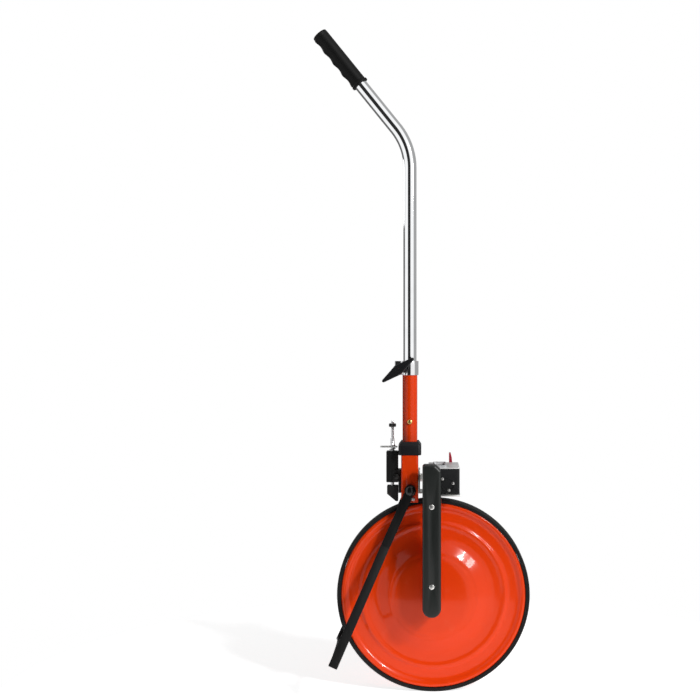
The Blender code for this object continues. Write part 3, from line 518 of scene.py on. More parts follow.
def enamel():
    """Glossy stove enamel: slight orange peel, faint dust and a few rubbed specks."""
    orange = (0.78, 0.048, 0.003)
    f = Finish("orange_enamel", orange, 0.20, Specular_IOR_Level=0.15, Coat_Weight=0.20, Coat_Roughness=0.04)
    broad = f.noise(7.0, 4.0)
    dust = f.noise(60.0, 6.0).ramp(0.55, 0.80)
    specks = f.cells(420.0).ramp(0.10, 0.04) * f.noise(22.0, 2.0).ramp(0.62, 0.72)
    tone = f.mixed(broad, shade(orange, 0.92), shade(orange, 1.08))
    dusty = f.mixed(dust * 0.03, tone, (0.80, 0.30, 0.18))
    return f.finished(f.mixed(specks * 0.5, dusty, (0.35, 0.03, 0.01)),
                      0.16 + broad * 0.06 + dust * 0.08 + specks * 0.2,
                      f.noise(300.0, 1.0) * 0.15 + f.noise(90.0, 1.0), 0.00002, 0.2)


def plated(name, colour, base_rough, streak, along="Z", cloud=0.05, metallic=1.0):
    """Bright plating over drawn tube or rolled sheet, with streaks along its length."""
    f = Finish(name, colour, base_rough, metallic)
    stretch = {"X": (6, 500, 500), "Y": (500, 6, 500), "Z": (500, 500, 6)}[along]
    lines = f.noise(1.0, 3.0, stretch)
    smudge = f.noise(26.0, 5.0).ramp(0.48, 0.74)
    return f.finished(f.mixed(smudge * 0.5 + lines * 0.2, colour, shade(colour, 0.86)),
                      base_rough + lines * streak + smudge * cloud, lines, 0.000012, 0.4)


def zinc():
    """Zinc plating with a faint crystal pattern and a dull bloom."""
    colour = (0.66, 0.67, 0.66)
    f = Finish("zinc_plating", colour, 0.34, 1.0)
    grain = f.cells(260.0, "Color")
    patch = f.noise(45.0, 4.0)
    return f.finished(f.mixed(patch.ramp(0.4, 0.7) * 0.6, colour, (0.52, 0.51, 0.46)),
                      0.26 + patch * 0.2 + f.noise(600.0, 2.0) * 0.06,
                      f.noise(900.0, 2.0) + grain * 0.2, 0.00001)


def machined(name, colour, rough, centre):
    """Turned metal: fine rings about an axis along X through a centre."""
    f = Finish(name, colour, rough, 1.0)
    offset = f.node("ShaderNodeVectorMath", {"operation": "SUBTRACT"}, {0: f.place, 1: tuple(centre)})
    flat = f.node("ShaderNodeVectorMath", {"operation": "MULTIPLY"}, {0: offset, 1: (0.35, 1, 1)})
    far = f.node("ShaderNodeVectorMath", {"operation": "LENGTH"}, {0: flat}, "Value")
    rings = f.node("ShaderNodeTexNoise", {"noise_dimensions": "1D"},
                   {"W": far, "Scale": 2600.0, "Detail": 2.0})
    stain = f.noise(70.0, 4.0)
    return f.finished(f.mixed(stain.ramp(0.5, 0.8) * 0.5, colour, shade(colour, 0.6)),
                      rough + rings * 0.14 + stain * 0.1, rings, 0.00002, 0.6)


def blackened(name, rough=0.36, metallic=0.6):
    """Black-oxide steel: deep brown-black, rubbed brighter in places, a little oily."""
    f = Finish(name, (0.022, 0.021, 0.021), rough, metallic)
    rub = f.noise(180.0, 5.0).ramp(0.58, 0.80)
    oil = f.noise(30.0, 3.0)
    return f.finished(f.mixed(rub * 0.5, (0.020, 0.019, 0.019), (0.11, 0.10, 0.095)),
                      rough - 0.08 + oil * 0.16 + rub * 0.08, f.noise(1400.0, 2.0), 0.00001)


def moulding(name, colour, rough, grain=1500.0, depth=0.00003, gloss=0.35, mark=1.0):
    """Moulded plastic: fine spark-eroded grain, slight flow mottling and light scuffs."""
    f = Finish(name, colour, rough, Specular_IOR_Level=gloss)
    flow = f.noise(16.0, 3.0)
    fine = f.noise(grain, 2.0)
    scuff = f.noise(1.0, 4.0, (190, 60, 420)).ramp(0.64, 0.80) * f.noise(35.0, 2.0).ramp(0.48, 0.62)
    tone = f.mixed(flow, shade(colour, 0.80), shade(colour, 1.25))
    return f.finished(f.mixed(scuff * 0.25 * mark, tone, tuple(c + 0.06 for c in colour)),
                      rough - 0.04 + flow * 0.08 + scuff * 0.12 * mark + fine * 0.05,
                      fine + f.cells(grain * 0.7) * 0.5, depth, 0.6)


def bar_enamel():
    """Satin black enamel brushed on flat bar, with small chips down to the steel."""
    f = Finish("bar_enamel", (0.008, 0.008, 0.008), 0.40, Specular_IOR_Level=0.18)
    brush = f.noise(1.0, 3.0, (260, 260, 30))
    chips = f.cells(300.0).ramp(0.13, 0.06) * f.noise(28.0, 3.0).ramp(0.63, 0.70)
    black = f.mixed(brush, (0.004, 0.004, 0.004), (0.009, 0.009, 0.009))
    return f.finished(f.mixed(chips, black, (0.16, 0.15, 0.14)), 0.34 + brush * 0.14 + chips * 0.2,
                      brush - chips * 0.8 + f.noise(700.0, 2.0) * 0.3, 0.00003)


def rubber(name, colour=(0.009, 0.009, 0.009), dusty=0.22, rough=0.62, seams=0.0):
    """Vulcanised rubber with a dry bloom and patches of road dust."""
    f = Finish(name, colour, rough, Specular_IOR_Level=0.22)
    bloom = f.noise(34.0, 5.0)
    dust = f.noise(210.0, 5.0).ramp(0.55, 0.80)
    dark = f.mixed(bloom, shade(colour, 0.7), shade(colour, 1.5))
    height = f.noise(850.0, 3.0) + bloom * 0.3
    if seams:
        height = height + f.noise(1.0, 2.0, (30, 1500, 1500)) * seams
    return f.finished(f.mixed(dust * dusty, dark, (0.10, 0.095, 0.085)),
                      rough - 0.04 + bloom * 0.12 + dust * 0.10, height, 0.00006, 0.6)


def grip_vinyl():
    """Soft moulded vinyl with a leather-like pebble."""
    f = Finish("grip_vinyl_black", (0.006, 0.006, 0.006), 0.48, Specular_IOR_Level=0.15)
    pebble = f.cells(650.0, feature="SMOOTH_F1")
    wear = f.noise(24.0, 4.0)
    return f.finished(f.mixed(wear, (0.003, 0.003, 0.003), (0.007, 0.007, 0.007)),
                      0.42 + wear * 0.14 + pebble * 0.08,
                      pebble + f.noise(1500.0, 2.0) * 0.2, 0.00010, 0.6)


def crimson():
    """Glossy moulded plastic with a slight flow pattern."""
    colour = (0.40, 0.004, 0.026)
    f = Finish("crimson_moulding", colour, 0.28, Coat_Weight=0.35, Coat_Roughness=0.08)
    flow = f.noise(120.0, 3.0)
    return f.finished(f.mixed(flow, shade(colour, 0.8), shade(colour, 1.15)), 0.24 + flow * 0.10,
                      f.noise(1200.0, 2.0), 0.00002)


def brass():
    """Turned brass, tarnished in patches."""
    colour = (0.66, 0.46, 0.16)
    f = Finish("turned_brass", colour, 0.26, 1.0)
    tarnish = f.noise(240.0, 4.0)
    return f.finished(f.mixed(tarnish.ramp(0.45, 0.75) * 0.7, colour, (0.34, 0.20, 0.07)),
                      0.18 + tarnish * 0.22, f.noise(1800.0, 2.0), 0.00001)


def pane():
    """Clear acrylic with a light haze."""
    f = Finish("window_acrylic", (0.93, 0.95, 0.95), 0.06, IOR=1.49)
    haze = f.noise(60.0, 4.0)
    f.put("Alpha", 0.10 + haze * 0.10)
    return f.finished(None, 0.03 + haze * 0.08, f.noise(90.0, 2.0), 0.00002, 0.3)


ENAMEL = enamel()
CHROME = plated("chrome_tube", (0.86, 0.87, 0.88), 0.035, 0.03)
CHROME_SMALL = plated("chrome_fittings", (0.78, 0.78, 0.79), 0.07, 0.04, "X", 0.08)
BRIGHT = plated("bright_plate", (0.88, 0.88, 0.88), 0.30, 0.08, "X", 0.06, 0.35)
SCREW = plated("plated_screw", (0.72, 0.71, 0.69), 0.22, 0.10, "X", 0.12)
ROD = plated("bright_rod", (0.62, 0.62, 0.63), 0.20, 0.10, "Z", 0.10)
SPRING = plated("spring_wire", (0.50, 0.50, 0.51), 0.28, 0.12, "Y", 0.12)
ZINC = zinc()
OXIDE = blackened("black_oxide")
POLISHED = blackened("polished_oxide", 0.24, 0.3)
BAR = bar_enamel()
COVER = moulding("cover_moulding", (0.0115, 0.0135, 0.0125), 0.34, 1700.0, 0.00002, 0.30)
CASE = moulding("case_moulding", (0.0085, 0.009, 0.0095), 0.44, 900.0, 0.00005, 0.22)
CAP = moulding("cap_moulding", (0.0075, 0.0075, 0.009), 0.38, 1300.0, 0.00003, 0.22)
KNOB = moulding("knob_moulding", (0.008, 0.008, 0.009), 0.30, 2000.0, 0.00002, 0.28)
GUIDE = moulding("guide_moulding", (0.006, 0.006, 0.006), 0.44, 1100.0, 0.00004, 0.18)
BROWN = moulding("sleeve_moulding", (0.045, 0.020, 0.012), 0.44, 1500.0)
DRUM = moulding("drum_moulding", (0.74, 0.72, 0.66), 0.42, 2500.0, 0.00001, 0.4, 0.4)
NUMERAL = moulding("numeral_ink", (0.012, 0.012, 0.012), 0.55, 2500.0, 0.00001)
TYRE = rubber("tyre_rubber", seams=0.5)
BELT = rubber("belt_rubber", dusty=0.1)
PAD = rubber("pad_rubber", (0.012, 0.012, 0.012), 0.2, 0.6)
GRIP = grip_vinyl()
CRIMSON = crimson()
STEEL = machined("turned_steel", (0.56, 0.55, 0.53), 0.26, middle("axle") * MM)
PULLEY_METAL = machined("turned_aluminium", (0.70, 0.70, 0.71), 0.30, middle("upper_pulley") * MM)
BEZEL = moulding("bezel_moulding", (0.52, 0.53, 0.54), 0.30, 1400.0, 0.00002, 0.5)
BRASS = brass()
PANE = pane()


# ------------------------------------------------------------------ wheel

AXLE_POINT = middle("tyre") * Vector((0, 0, 1))
SHEET = 1.5
RIM_R = 152.2


def mirrored(profile):
    """A profile turned over to the wheel's other side."""
    return [(-x, r) for x, r in profile]


def tyre_profile():
    """Half section of the tyre, from the bead out over the ribbed wall to the tread's middle."""
    half = span("tyre")[1].x
    tread_r = 159.1
    line = [(half - 0.8, RIM_R + 0.3), (half - 0.3, RIM_R + 0.5)]
    for rib in range(3):
        r = RIM_R + 0.9 + rib * 1.3
        line += [(half - 0.45, r), (half - 0.05, r + 0.25), (half - 0.05, r + 0.6), (half - 0.45, r + 0.85)]
    line += [(half - 0.1, 157.0), (half - 0.6, 158.1), (half - 1.7, 158.9), (half - 2.9, tread_r)]
    for x in (7.2, 3.6, 0.0):
        line += [(x + 0.9, tread_r), (x + 0.45, tread_r - 0.9)]
        if x:
            line += [(x - 0.45, tread_r - 0.9), (x - 0.9, tread_r)]
    return line


def make_tyre():
    half = tyre_profile()
    piece("tyre", turned(half + mirrored(half)[::-1], "X", AXLE_POINT, 192), TYRE)


def disc_profile(crown):
    """Section of a pressed disc: crown, rounded step, wide shallow channel and rolled rim."""
    line = [(crown, 9.6), (crown, 20), (crown - 0.3, 40), (crown - 0.8, 54), (crown - 2.0, 62)]
    line += [(crown - 4.2, 68), (21.2, 73), (18.0, 79), (14.9, 85), (12.2, 90.5), (10.4, 96), (9.6, 102)]
    line += [(9.7, 110), (10.6, 116), (10.4, 119.3), (8.3, 123), (7.6, 127), (7.6, 135), (8.4, 140)]
    line += [(10.6, 144), (11.6, 147.2), (11.5, 149.6), (10.6, 151.4), (8.6, RIM_R), (0.3, RIM_R)]
    return strip(smooth_line(line, 6), SHEET)


def make_discs():
    for side, crown, turn in (("right", span("wheel_disc_right")[1].x, 1),
                              ("left", -span("wheel_disc_left")[0].x, -1)):
        outline = disc_profile(crown)
        if turn < 0:
            outline = mirrored(outline)
        piece("wheel_disc_" + side, turned(outline, "X", AXLE_POINT, 192), ENAMEL, smooth_angle=40)


def make_hub():
    low, high = span("wheel_hub")
    r = 9.2
    line = [(low.x, 7.5), (low.x, r - 0.5), (low.x + 0.5, r), (low.x + 2.4, r), (low.x + 2.8, r - 0.6)]
    line += [(low.x + 3.6, r - 0.6), (low.x + 4.0, r), (-30.5, r), (-27.6, r), (-27.6, 18.0)]
    line += [(-26.1, 18.0), (-26.1, r), (21.0, r), (21.0, 18.0), (23.2, 18.0), (23.2, r)]
    line += [(high.x - 0.3, r), (high.x, r - 0.3), (high.x, 7.5)]
    piece("wheel_hub", turned(line, "X", AXLE_POINT), ENAMEL)


def make_sleeve():
    low, high = span("drive_sleeve")
    line = [(low.x, 4.3), (low.x, 7.2), (27.9, 7.2), (27.9, 10.2), (28.3, 10.6), (30.4, 10.3), (30.8, 9.9)]
    line += [(31.6, 9.8), (32.0, 10.0), (34.2, 9.7), (38.0, 8.9), (41.6, 8.1), (42.2, 7.7), (42.4, 7.2)]
    line += [(42.4, 6.6), (50.7, 6.6), (50.7, 5.4), (high.x - 0.4, 5.4), (high.x, 5.0), (high.x, 4.3)]
    piece("drive_sleeve", turned(line, "X", AXLE_POINT), BROWN)


def make_axle():
    low, high = span("axle")
    thread_end = low.x + 8.5
    head = high.x - 4.2
    line = [(low.x, 0.0), (low.x, 3.0)] + thread_profile(low.x + 0.7, thread_end, 3.95)
    line += [(thread_end + 0.4, 4.0), (head, 4.0), (head, 6.2), (head + 3.4, 6.2), (head + 4.2, 5.4)]
    line += [(high.x, 0.0)]
    piece("axle", turned(line, "X", AXLE_POINT), STEEL)
    low, high = span("axle_nut")
    nut = hexagon("X", *AXLE_POINT.yz, low.x, high.x, 7.4)
    piece("axle_nut", drilled(nut, "X", AXLE_POINT.yz, M8_HOLE, low.x - 2, high.x + 2), OXIDE)


# ------------------------------------------------------------------ fork and drive cover

LEG_THICK = 3.0
FORK_BOLT_X = 30.0
COVER_Y = middle("drive_cover").y
SCREW_PLACES = {"upper": middle("cover_screw_upper").z, "lower": middle("cover_screw_lower").z}


def make_fork():
    """Flat bar bent over the wheel; the left leg runs on down as a narrow pointer."""
    low, high = span("fork")
    end_z = 141.0
    bend = 7.0
    pointer_half = 5.0
    outer = [(low.x, low.z)]
    outer += arc(low.x + bend, high.z - bend, bend, 180, 90, 14)
    outer += arc(high.x - bend, high.z - bend, bend, 90, 0, 14)
    outer += [(high.x, end_z)]
    fork = prism(strip(outer, -LEG_THICK), "Y", low.y, high.y)
    waste = [(pointer_half, low.z - 5), (pointer_half, end_z - 14), (pointer_half + 1.2, end_z - 9)]
    waste += [(pointer_half + 3.4, end_z - 4), (high.y - 2.0, end_z + 1.5), (high.y - 0.3, end_z + 4.5)]
    waste += [(high.y + 4, end_z + 8), (high.y + 4, low.z - 5)]
    for way in (-1.0, 1.0):
        side = [(way * y, z) for y, z in waste]
        fork = combine(fork, prism(side, "X", low.x - 4, low.x + 8))
    trim = [(low.y - 5, end_z - 5), (high.y + 5, end_z - 5), (high.y + 5, end_z + 4), (high.y, end_z + 4)]
    trim += arc(high.y - 4, end_z + 4, 4, 0, -90, 6) + arc(low.y + 4, end_z + 4, 4, -90, -180, 6)
    trim += [(low.y - 5, end_z + 4)]
    fork = combine(fork, prism(trim, "X", high.x - 8, high.x + 4))
    tip = [(-12, low.z - 5), (12, low.z - 5), (12, low.z + 3), (pointer_half, low.z + 3)]
    tip += arc(pointer_half - 3, low.z + 3, 3, 0, -90, 5) + arc(3 - pointer_half, low.z + 3, 3, -90, -180, 5)
    tip += [(-12, low.z + 3)]
    fork = combine(fork, prism(tip, "X", low.x - 4, low.x + 8))
    fork = drilled(fork, "X", AXLE_POINT.yz, M8_HOLE, low.x - 4, low.x + 8)
    fork = drilled(fork, "X", AXLE_POINT.yz, 9.3, high.x - 8, high.x + 4, 48)
    for z in SCREW_PLACES.values():
        fork = drilled(fork, "X", (COVER_Y, z), M4_HOLE, high.x - 8, high.x + 4)
    for x in (-FORK_BOLT_X, FORK_BOLT_X):
        fork = drilled(fork, "Z", (x, 0.0), M6_HOLE, high.z - 8, high.z + 4)
    piece("fork", bevelled(fork, 0.45, 3), ENAMEL)


def headings(degrees):
    """Unit vectors along an angle and square to it."""
    angle = math.radians(degrees)
    along = Vector((math.cos(angle), math.sin(angle)))
    return along, Vector((-along.y, along.x))


def slot_outline(a, b, length, width, turn):
    along, across = headings(turn)
    corners = []
    for s, t in ((-1, -1), (1, -1), (1, 1), (-1, 1)):
        corners.append(tuple(Vector((a, b)) + along * (s * length / 2) + across * (t * width / 2)))
    return corners


def screw_solid(seat, end, head_r, head_high, shank_r, dome, slots, slot_wide):
    """A screw along X, from its end on the left to the seat and dome of its head on the right.

    One slot runs right across the head; two make a cross in its middle.
    """
    top = seat.x + head_high
    profile = [(end, 0.0), (end, shank_r - 0.5)]
    profile += thread_profile(end + 0.6, seat.x - 0.8, shank_r, 0.8, 0.3)
    profile += [(seat.x, shank_r), (seat.x, head_r - 0.15), (seat.x + 0.2, head_r)]
    profile += [(top - (dome + 0.2), head_r), (top - dome * 0.7, head_r * 0.88)]
    profile += [(top - dome * 0.2, head_r * 0.5), (top, 0.0)]
    screw = turned(profile, "X", Vector((0, seat.y, seat.z)), 48)
    length = head_r * (2.4 if len(slots) == 1 else 1.2)
    for turn in slots:
        cut = slot_outline(seat.y, seat.z, length, slot_wide, turn)
        screw = combine(screw, prism(cut, "X", top - 0.9, top + 2))
    return screw


def cover_outline(inset):
    """The cover's side outline: round foot, straight flanks, cut and rounded top corners."""
    low, high = span("drive_cover")
    half = (high.y - low.y) / 2 - inset
    foot_z = low.z + (high.y - low.y) / 2
    top = high.z - inset
    rear, front = COVER_Y - half, COVER_Y + half
    points = arc(COVER_Y, foot_z, half, 180, 360, 40)
    corner = [(front, top - 12.5), (front, top - 8.6), (front - 8.6, top), (front - 12, top)]
    points += fillet(corner, 5.0, 8, closed=False)
    points += arc(rear + 4.5, top - 4.5, 4.5, 90, 180, 10)
    return points


def make_drive_cover():
    low, high = span("drive_cover")
    wall = 1.8
    cover = padded_prism(cover_outline, "X", low.x, high.x, 4.0, 8, both=False)
    cover = combine(cover, prism(cover_outline(wall), "X", low.x - 3, high.x - wall - 1.2))
    for name, z in SCREW_PLACES.items():
        post = prism(circle(COVER_Y, z, 3.9), "X", low.x + 1.9, high.x - wall)
        cover = combine(cover, post, "UNION")
        cover = drilled(cover, "X", (COVER_Y, z), M4_HOLE, low.x, high.x + 3)
        cover = drilled(cover, "X", (COVER_Y, z), 4.5, high.x - 1.2, high.x + 3, 48)
    cover = bevelled(cover, 0.25, 2, 50)
    piece("drive_cover", cover, COVER, smooth_angle=35)
    for name, turn in (("upper", 38.0), ("lower", 47.0)):
        node = "cover_screw_" + name
        a, b = span(node)
        seat = Vector((b.x - 1.2, COVER_Y, SCREW_PLACES[name]))
        piece(node, screw_solid(seat, a.x, 4.1, 1.2, 2.0, 0.3, (turn,), 1.1), SCREW)


# ------------------------------------------------------------------ counter

RING_PLACE = Vector((0, 23.5, 345.0))


def make_case():
    low, high = span("counter_case")
    wall = 2.0
    outline = inset_box(low, high, 3.4)
    case = padded_prism(outline, "Z", low.z, high.z, 1.2, 4)
    case = combine(case, prism(outline(wall), "Z", low.z + wall, high.z + 3))
    lip = block((low.x + 1.0, high.y - 2.4, low.z), (high.x - 1.0, high.y, low.z + 3.4), 0.8, 0.6)
    case = combine(case, lip, "UNION")
    ring_line = [(high.x - 0.8, 9.4), (high.x + 0.5, 9.8), (high.x + 0.7, 10.4), (high.x + 0.5, 11.0)]
    ring_line += [(high.x - 0.8, 11.4)]
    case = combine(case, turned(ring_line, "X", RING_PLACE, 72), "UNION")
    dish = [(high.x - 0.6, 0.0), (high.x - 0.6, 8.6), (high.x + 0.4, 9.0), (high.x + 0.4, 0.0)]
    case = combine(case, turned(dish, "X", RING_PLACE, 64))
    reset = middle("reset_shaft")
    case = drilled(case, "X", reset.yz, SHAFT_HOLE, low.x - 3, low.x + 5)
    drive = middle("upper_pulley")
    case = drilled(case, "X", drive.yz, SHAFT_HOLE, high.x - 5, high.x + 3)
    for x in (-FORK_BOLT_X, FORK_BOLT_X):
        case = drilled(case, "Z", (x, 0.0), M6_HOLE, low.z - 3, low.z + wall + 1)
    for number in range(1, 4):
        place = middle("counter_screw_%d" % number)
        case = drilled(case, "X", place.yz, 1.5, high.x - 5, high.x + 3, 16)
    piece("counter_case", case, CASE, smooth_angle=38)
    for number, turn in ((1, 15.0), (2, 60.0), (3, 35.0)):
        node = "counter_screw_%d" % number
        low, high = span(node)
        place = middle(node)
        seat = Vector((high.x - 1.1, place.y, place.z))
        screw = screw_solid(seat, low.x, 2.4, 1.1, 1.2, 0.35, (turn, turn + 90), 0.65)
        piece(node, screw, SCREW)


WINDOW = ((-20.0, 3.0), (32.0, 18.2))


def make_top_plate():
    low, high = span("counter_top_plate")
    plate = prism(rounded_box((low.x, low.y), (high.x, high.y), 3.2), "Z", low.z, high.z)
    plate = combine(plate, prism(rounded_box(*WINDOW, 1.5), "Z", low.z - 3, high.z + 3))
    piece("counter_top_plate", bevelled(plate, 0.3, 2), BRIGHT)
    (x0, y0), (x1, y1) = WINDOW

    def rim(inset):
        grow = 3.0 - inset
        return rounded_box((x0 - grow, y0 - grow), (x1 + grow, y1 + grow), 3.4 - inset * 0.6)

    bezel = padded_prism(rim, "Z", high.z, high.z + 3.6, 1.2, 4, both=False)
    sill = lofted("Z", [(high.z - 1, rounded_box((x0, y0), (x1, y1), 1.5)),
                        (high.z + 4, rounded_box((x0 - 1.4, y0 - 1.4), (x1 + 1.4, y1 + 1.4), 2.2))])
    bezel = combine(bezel, sill)
    piece("window_bezel", bezel, BEZEL, "frame", "bright_steel", smooth_angle=35)


def numeral_solid(text, size):
    """A numeral as a flat sheet about the origin, cut in fine bands so that it can wrap."""
    curve = bpy.data.curves.new("numeral", "FONT")
    curve.body = text
    curve.size = size
    curve.align_x = "CENTER"
    curve.align_y = "CENTER"
    bm = evaluated(placed("numeral", curve))
    bpy.data.curves.remove(curve)
    bmesh.ops.remove_doubles(bm, verts=bm.verts, dist=0.001)
    for step in range(-7, 8):
        bmesh.ops.bisect_plane(bm, geom=bm.verts[:] + bm.edges[:] + bm.faces[:], dist=0.0001,
                               plane_co=(0, step * size / 15, 0), plane_no=(0, 1, 0))
    bmesh.ops.triangulate(bm, faces=bm.faces)
    solid = bmesh.ops.extrude_face_region(bm, geom=bm.faces[:])
    lifted = [item for item in solid["geom"] if isinstance(item, bmesh.types.BMVert)]
    bmesh.ops.translate(bm, verts=lifted, vec=(0, 0, 0.12))
    return close_up(bm)


def make_drums():
    numerals = [numeral_solid(str(digit), 7.6) for digit in range(10)]
    for number in range(1, 6):
        node = "number_drum_%d" % number
        low, high = span(node)
        centre = (low + high) / 2
        r = high.z - centre.z
        line = [(low.x, 2.6), (low.x, r - 0.5), (low.x + 0.3, r - 0.05), (low.x + 0.7, r - 0.05)]
        line += [(high.x - 0.7, r - 0.05), (high.x - 0.3, r - 0.05), (high.x, r - 0.5), (high.x, 2.6)]
        axis = Vector((0, centre.y, centre.z))
        piece(node, turned(line, "X", axis, 100), DRUM)
        band = bmesh.new()
        for digit, flat in enumerate(numerals):
            wrapped = flat.copy()
            for vert in wrapped.verts:
                angle = math.radians(36 * digit) + vert.co.y / r
                reach = r - 0.10 + vert.co.z
                vert.co = Vector((centre.x + vert.co.x, centre.y + math.sin(angle) * reach,
                                  centre.z + math.cos(angle) * reach))
            mesh = mesh_from("numeral", wrapped)
            band.from_mesh(mesh)
            bpy.data.meshes.remove(mesh)
        piece("drum_%d_numerals" % number, close_up(band), NUMERAL, "drum_%d" % number, "counter_black")
    for flat in numerals:
        flat.free()


def make_reset():
    low, high = span("reset_shaft")
    axis = middle("reset_shaft") * Vector((0, 1, 1))
    line = [(low.x, 0.0), (low.x, 2.4), (low.x + 0.5, 2.9), (-50.5, 2.9), (-50.5, 7.2), (-50.1, 8.0)]
    line += [(-49.2, 8.6), (-47.9, 8.6), (-47.6, 8.2), (-47.2, 8.2), (-46.9, 8.6), (-46.0, 8.6)]
    line += [(-46.0, 2.3), (high.x, 2.3), (high.x, 0.0)]
    piece("reset_shaft", turned(line, "X", axis, 72), OXIDE)
    low, high = span("reset_lever")
    blade = [(-51.0, 343.5), (-52.5, 342.0), (-57.5, 342.0), (-59.2, 343.8), (-60.2, 353.0), (-61.0, 362.0)]
    blade += [(-62.6, 372.0), (-63.8, 378.5), (-63.2, 383.8), (-60.4, 387.4), (-57.0, 388.5)]
    blade += [(-53.4, 387.0), (-51.3, 383.0), (-51.0, 375.0)]
    blade = fillet(blade, 4.0, 5)
    lever = prism(blade, "Y", low.y, high.y)
    front = [(high.y + 1, 366.0), (high.y, 368.0), (high.y - 1.2, 380.0), (high.y - 3.4, 389.5)]
    front += [(high.y + 1, 389.5)]
    lever = combine(lever, prism(front, "X", -70, -45))
    lever = drilled(lever, "X", axis.yz, M6_HOLE, -57, -48)
    piece("reset_lever", bevelled(lever, 0.9, 4), CRIMSON)


def make_counter_plate():
    plate = bevelled(cad_copy("counter_plate"), 0.35, 2)
    piece("counter_plate", plate, ZINC)
    for node in ("column_bolt_left", "column_bolt_right"):
        low, high = span(node)
        place = middle(node)
        rod = [(low.y, 0.0), (low.y, 2.2)] + thread_profile(low.y + 0.6, high.y - 3.5, 2.8)
        rod += [(high.y - 3.0, 2.6), (high.y - 3.0, 0.0)]
        piece(node, bolt_solid("Y", place.x, place.z, (high.y - 3.4, high.y), 5.0, 0.6, rod), ZINC)
    for node in ("fork_bolt_left", "fork_bolt_right"):
        low, high = span(node)
        place = middle(node)
        rod = [(low.z + 3.0, 0.0), (low.z + 3.0, 2.6)] + thread_profile(low.z + 3.7, high.z - 0.6, 2.8)
        rod += [(high.z, 2.2), (high.z, 0.0)]
        piece(node, bolt_solid("Z", place.x, place.y, (low.z, low.z + 3.6), 5.4, 0.6, rod), ZINC)


# ------------------------------------------------------------------ column and clamp

COLUMN_Y = middle("outer_tube").y


def make_column_base():
    low, high = span("column_base")
    wall = 2.0
    outline = inset_box(low, high, 3.2)
    base = prism(outline(0.0), "Z", low.z, high.z)
    base = combine(base, prism(outline(wall), "Z", low.z - 3, high.z + 3))
    room = block((low.x + 4.5, low.y - 3, low.z - 3), (high.x - 4.5, high.y + 3, low.z + 6))
    base = combine(base, room)
    pivot, stop = middle("stand_pivot_pin"), middle("stand_stop_pin")
    base = drilled(base, "X", pivot.yz, M8_HOLE, low.x - 3, high.x + 3)
    base = drilled(base, "X", stop.yz, M5_HOLE, low.x - 3, high.x + 3)
    for node in ("column_bolt_left", "column_bolt_right"):
        place = middle(node)
        base = drilled(base, "Y", (place.x, place.z), M6_HOLE, high.y - 6, high.y + 3)
    piece("column_base", bevelled(base, 0.35, 2), ENAMEL)


def make_column_cap():
    low, high = span("column_cap")
    cap_outline = inset_box(low, high, 5.4)
    slope = [(low.z, 0.7), (low.z + 0.7, 0.0), (high.z - 6.4, 0.0), (high.z - 5.4, 0.35)]
    slope += [(high.z - 1.0, 3.6), (high.z - 0.3, 4.0), (high.z, 4.4)]
    cap = lofted("Z", [(height, cap_outline(inset)) for height, inset in slope])
    seat_low, seat_high = span("column_base")
    seat = rounded_box((seat_low.x - 0.3, seat_low.y - 0.3), (seat_high.x + 0.3, seat_high.y + 0.5), 3.3)
    cap = combine(cap, prism(seat, "Z", low.z - 3, seat_high.z + 0.3))
    cap = drilled(cap, "Z", (0.0, COLUMN_Y), 12.9, low.z, high.z + 3, 64)
    piece("column_cap", bevelled(cap, 0.3, 2, 55), CAP)


def make_outer_tube():
    low, high = span("outer_tube")
    r = high.x
    tube = [(low.z, r - 1.1), (low.z, r), (high.z - 0.4, r), (high.z, r - 0.4), (high.z, r - 0.8)]
    tube += [(high.z - 0.3, r - 1.1)]
    tube = turned(tube, "Z", Vector((0, COLUMN_Y, 0)), 96)
    guide = middle("guide_screw")
    tube = drilled(tube, "X", guide.yz, M4_HOLE, 6, r + 3)
    piece("outer_tube", tube, ENAMEL)
    low, high = span("guide_screw")
    seat = Vector((high.x - 2.6, guide.y, guide.z))
    screw = screw_solid(seat, low.x, 3.8, 2.6, 1.9, 0.7, (65.0,), 0.9)
    piece("guide_screw", screw, BRASS)


CLAMP_AXIS = middle("clamp_screw") * Vector((0, 1, 1))
WING_REACH, WING_TIP_R, WING_TILT = 32.0, 2.6, 37.0


def make_clamp_band():
    low, high = span("clamp_band")
    inner, outer = 12.6, 14.2
    ear, slit, ear_end = 3.9, 1.4, low.y
    start = math.degrees(math.asin(ear / outer))
    gap = math.degrees(math.asin(slit / inner))
    outline = arc(0.0, COLUMN_Y, outer, -90 + start + 4, 270 - start - 4, 60)
    outline += [(-ear - 0.2, COLUMN_Y - outer - 0.8), (-ear, COLUMN_Y - outer - 2)]
    outline += arc(-ear + 1.2, ear_end + 1.2, 1.2, 180, 270, 5) + [(-slit, ear_end)]
    outline += arc(0.0, COLUMN_Y, inner, 270 - gap, -90 + gap, 60)
    outline += [(slit, ear_end)] + arc(ear - 1.2, ear_end + 1.2, 1.2, 270, 360, 5)
    outline += [(ear, COLUMN_Y - outer - 2), (ear + 0.2, COLUMN_Y - outer - 0.8)]
    band = prism(outline, "Z", low.z, high.z)
    band = drilled(band, "X", CLAMP_AXIS.yz, M6_HOLE, -ear - 3, ear + 3)
    piece("clamp_band", bevelled(band, 0.35, 3), CHROME_SMALL)


def make_clamp_screw():
    low, high = span("clamp_screw")
    rod = [(low.x + 3.0, 0.0), (low.x + 3.0, 2.6)] + thread_profile(low.x + 3.8, high.x - 0.6, 2.7)
    rod += [(high.x, 2.2), (high.x, 0.0)]
    screw = bolt_solid("X", *CLAMP_AXIS.yz, (low.x, low.x + 3.6), 5.0, 0.6, rod)
    piece("clamp_screw", screw, CHROME_SMALL)


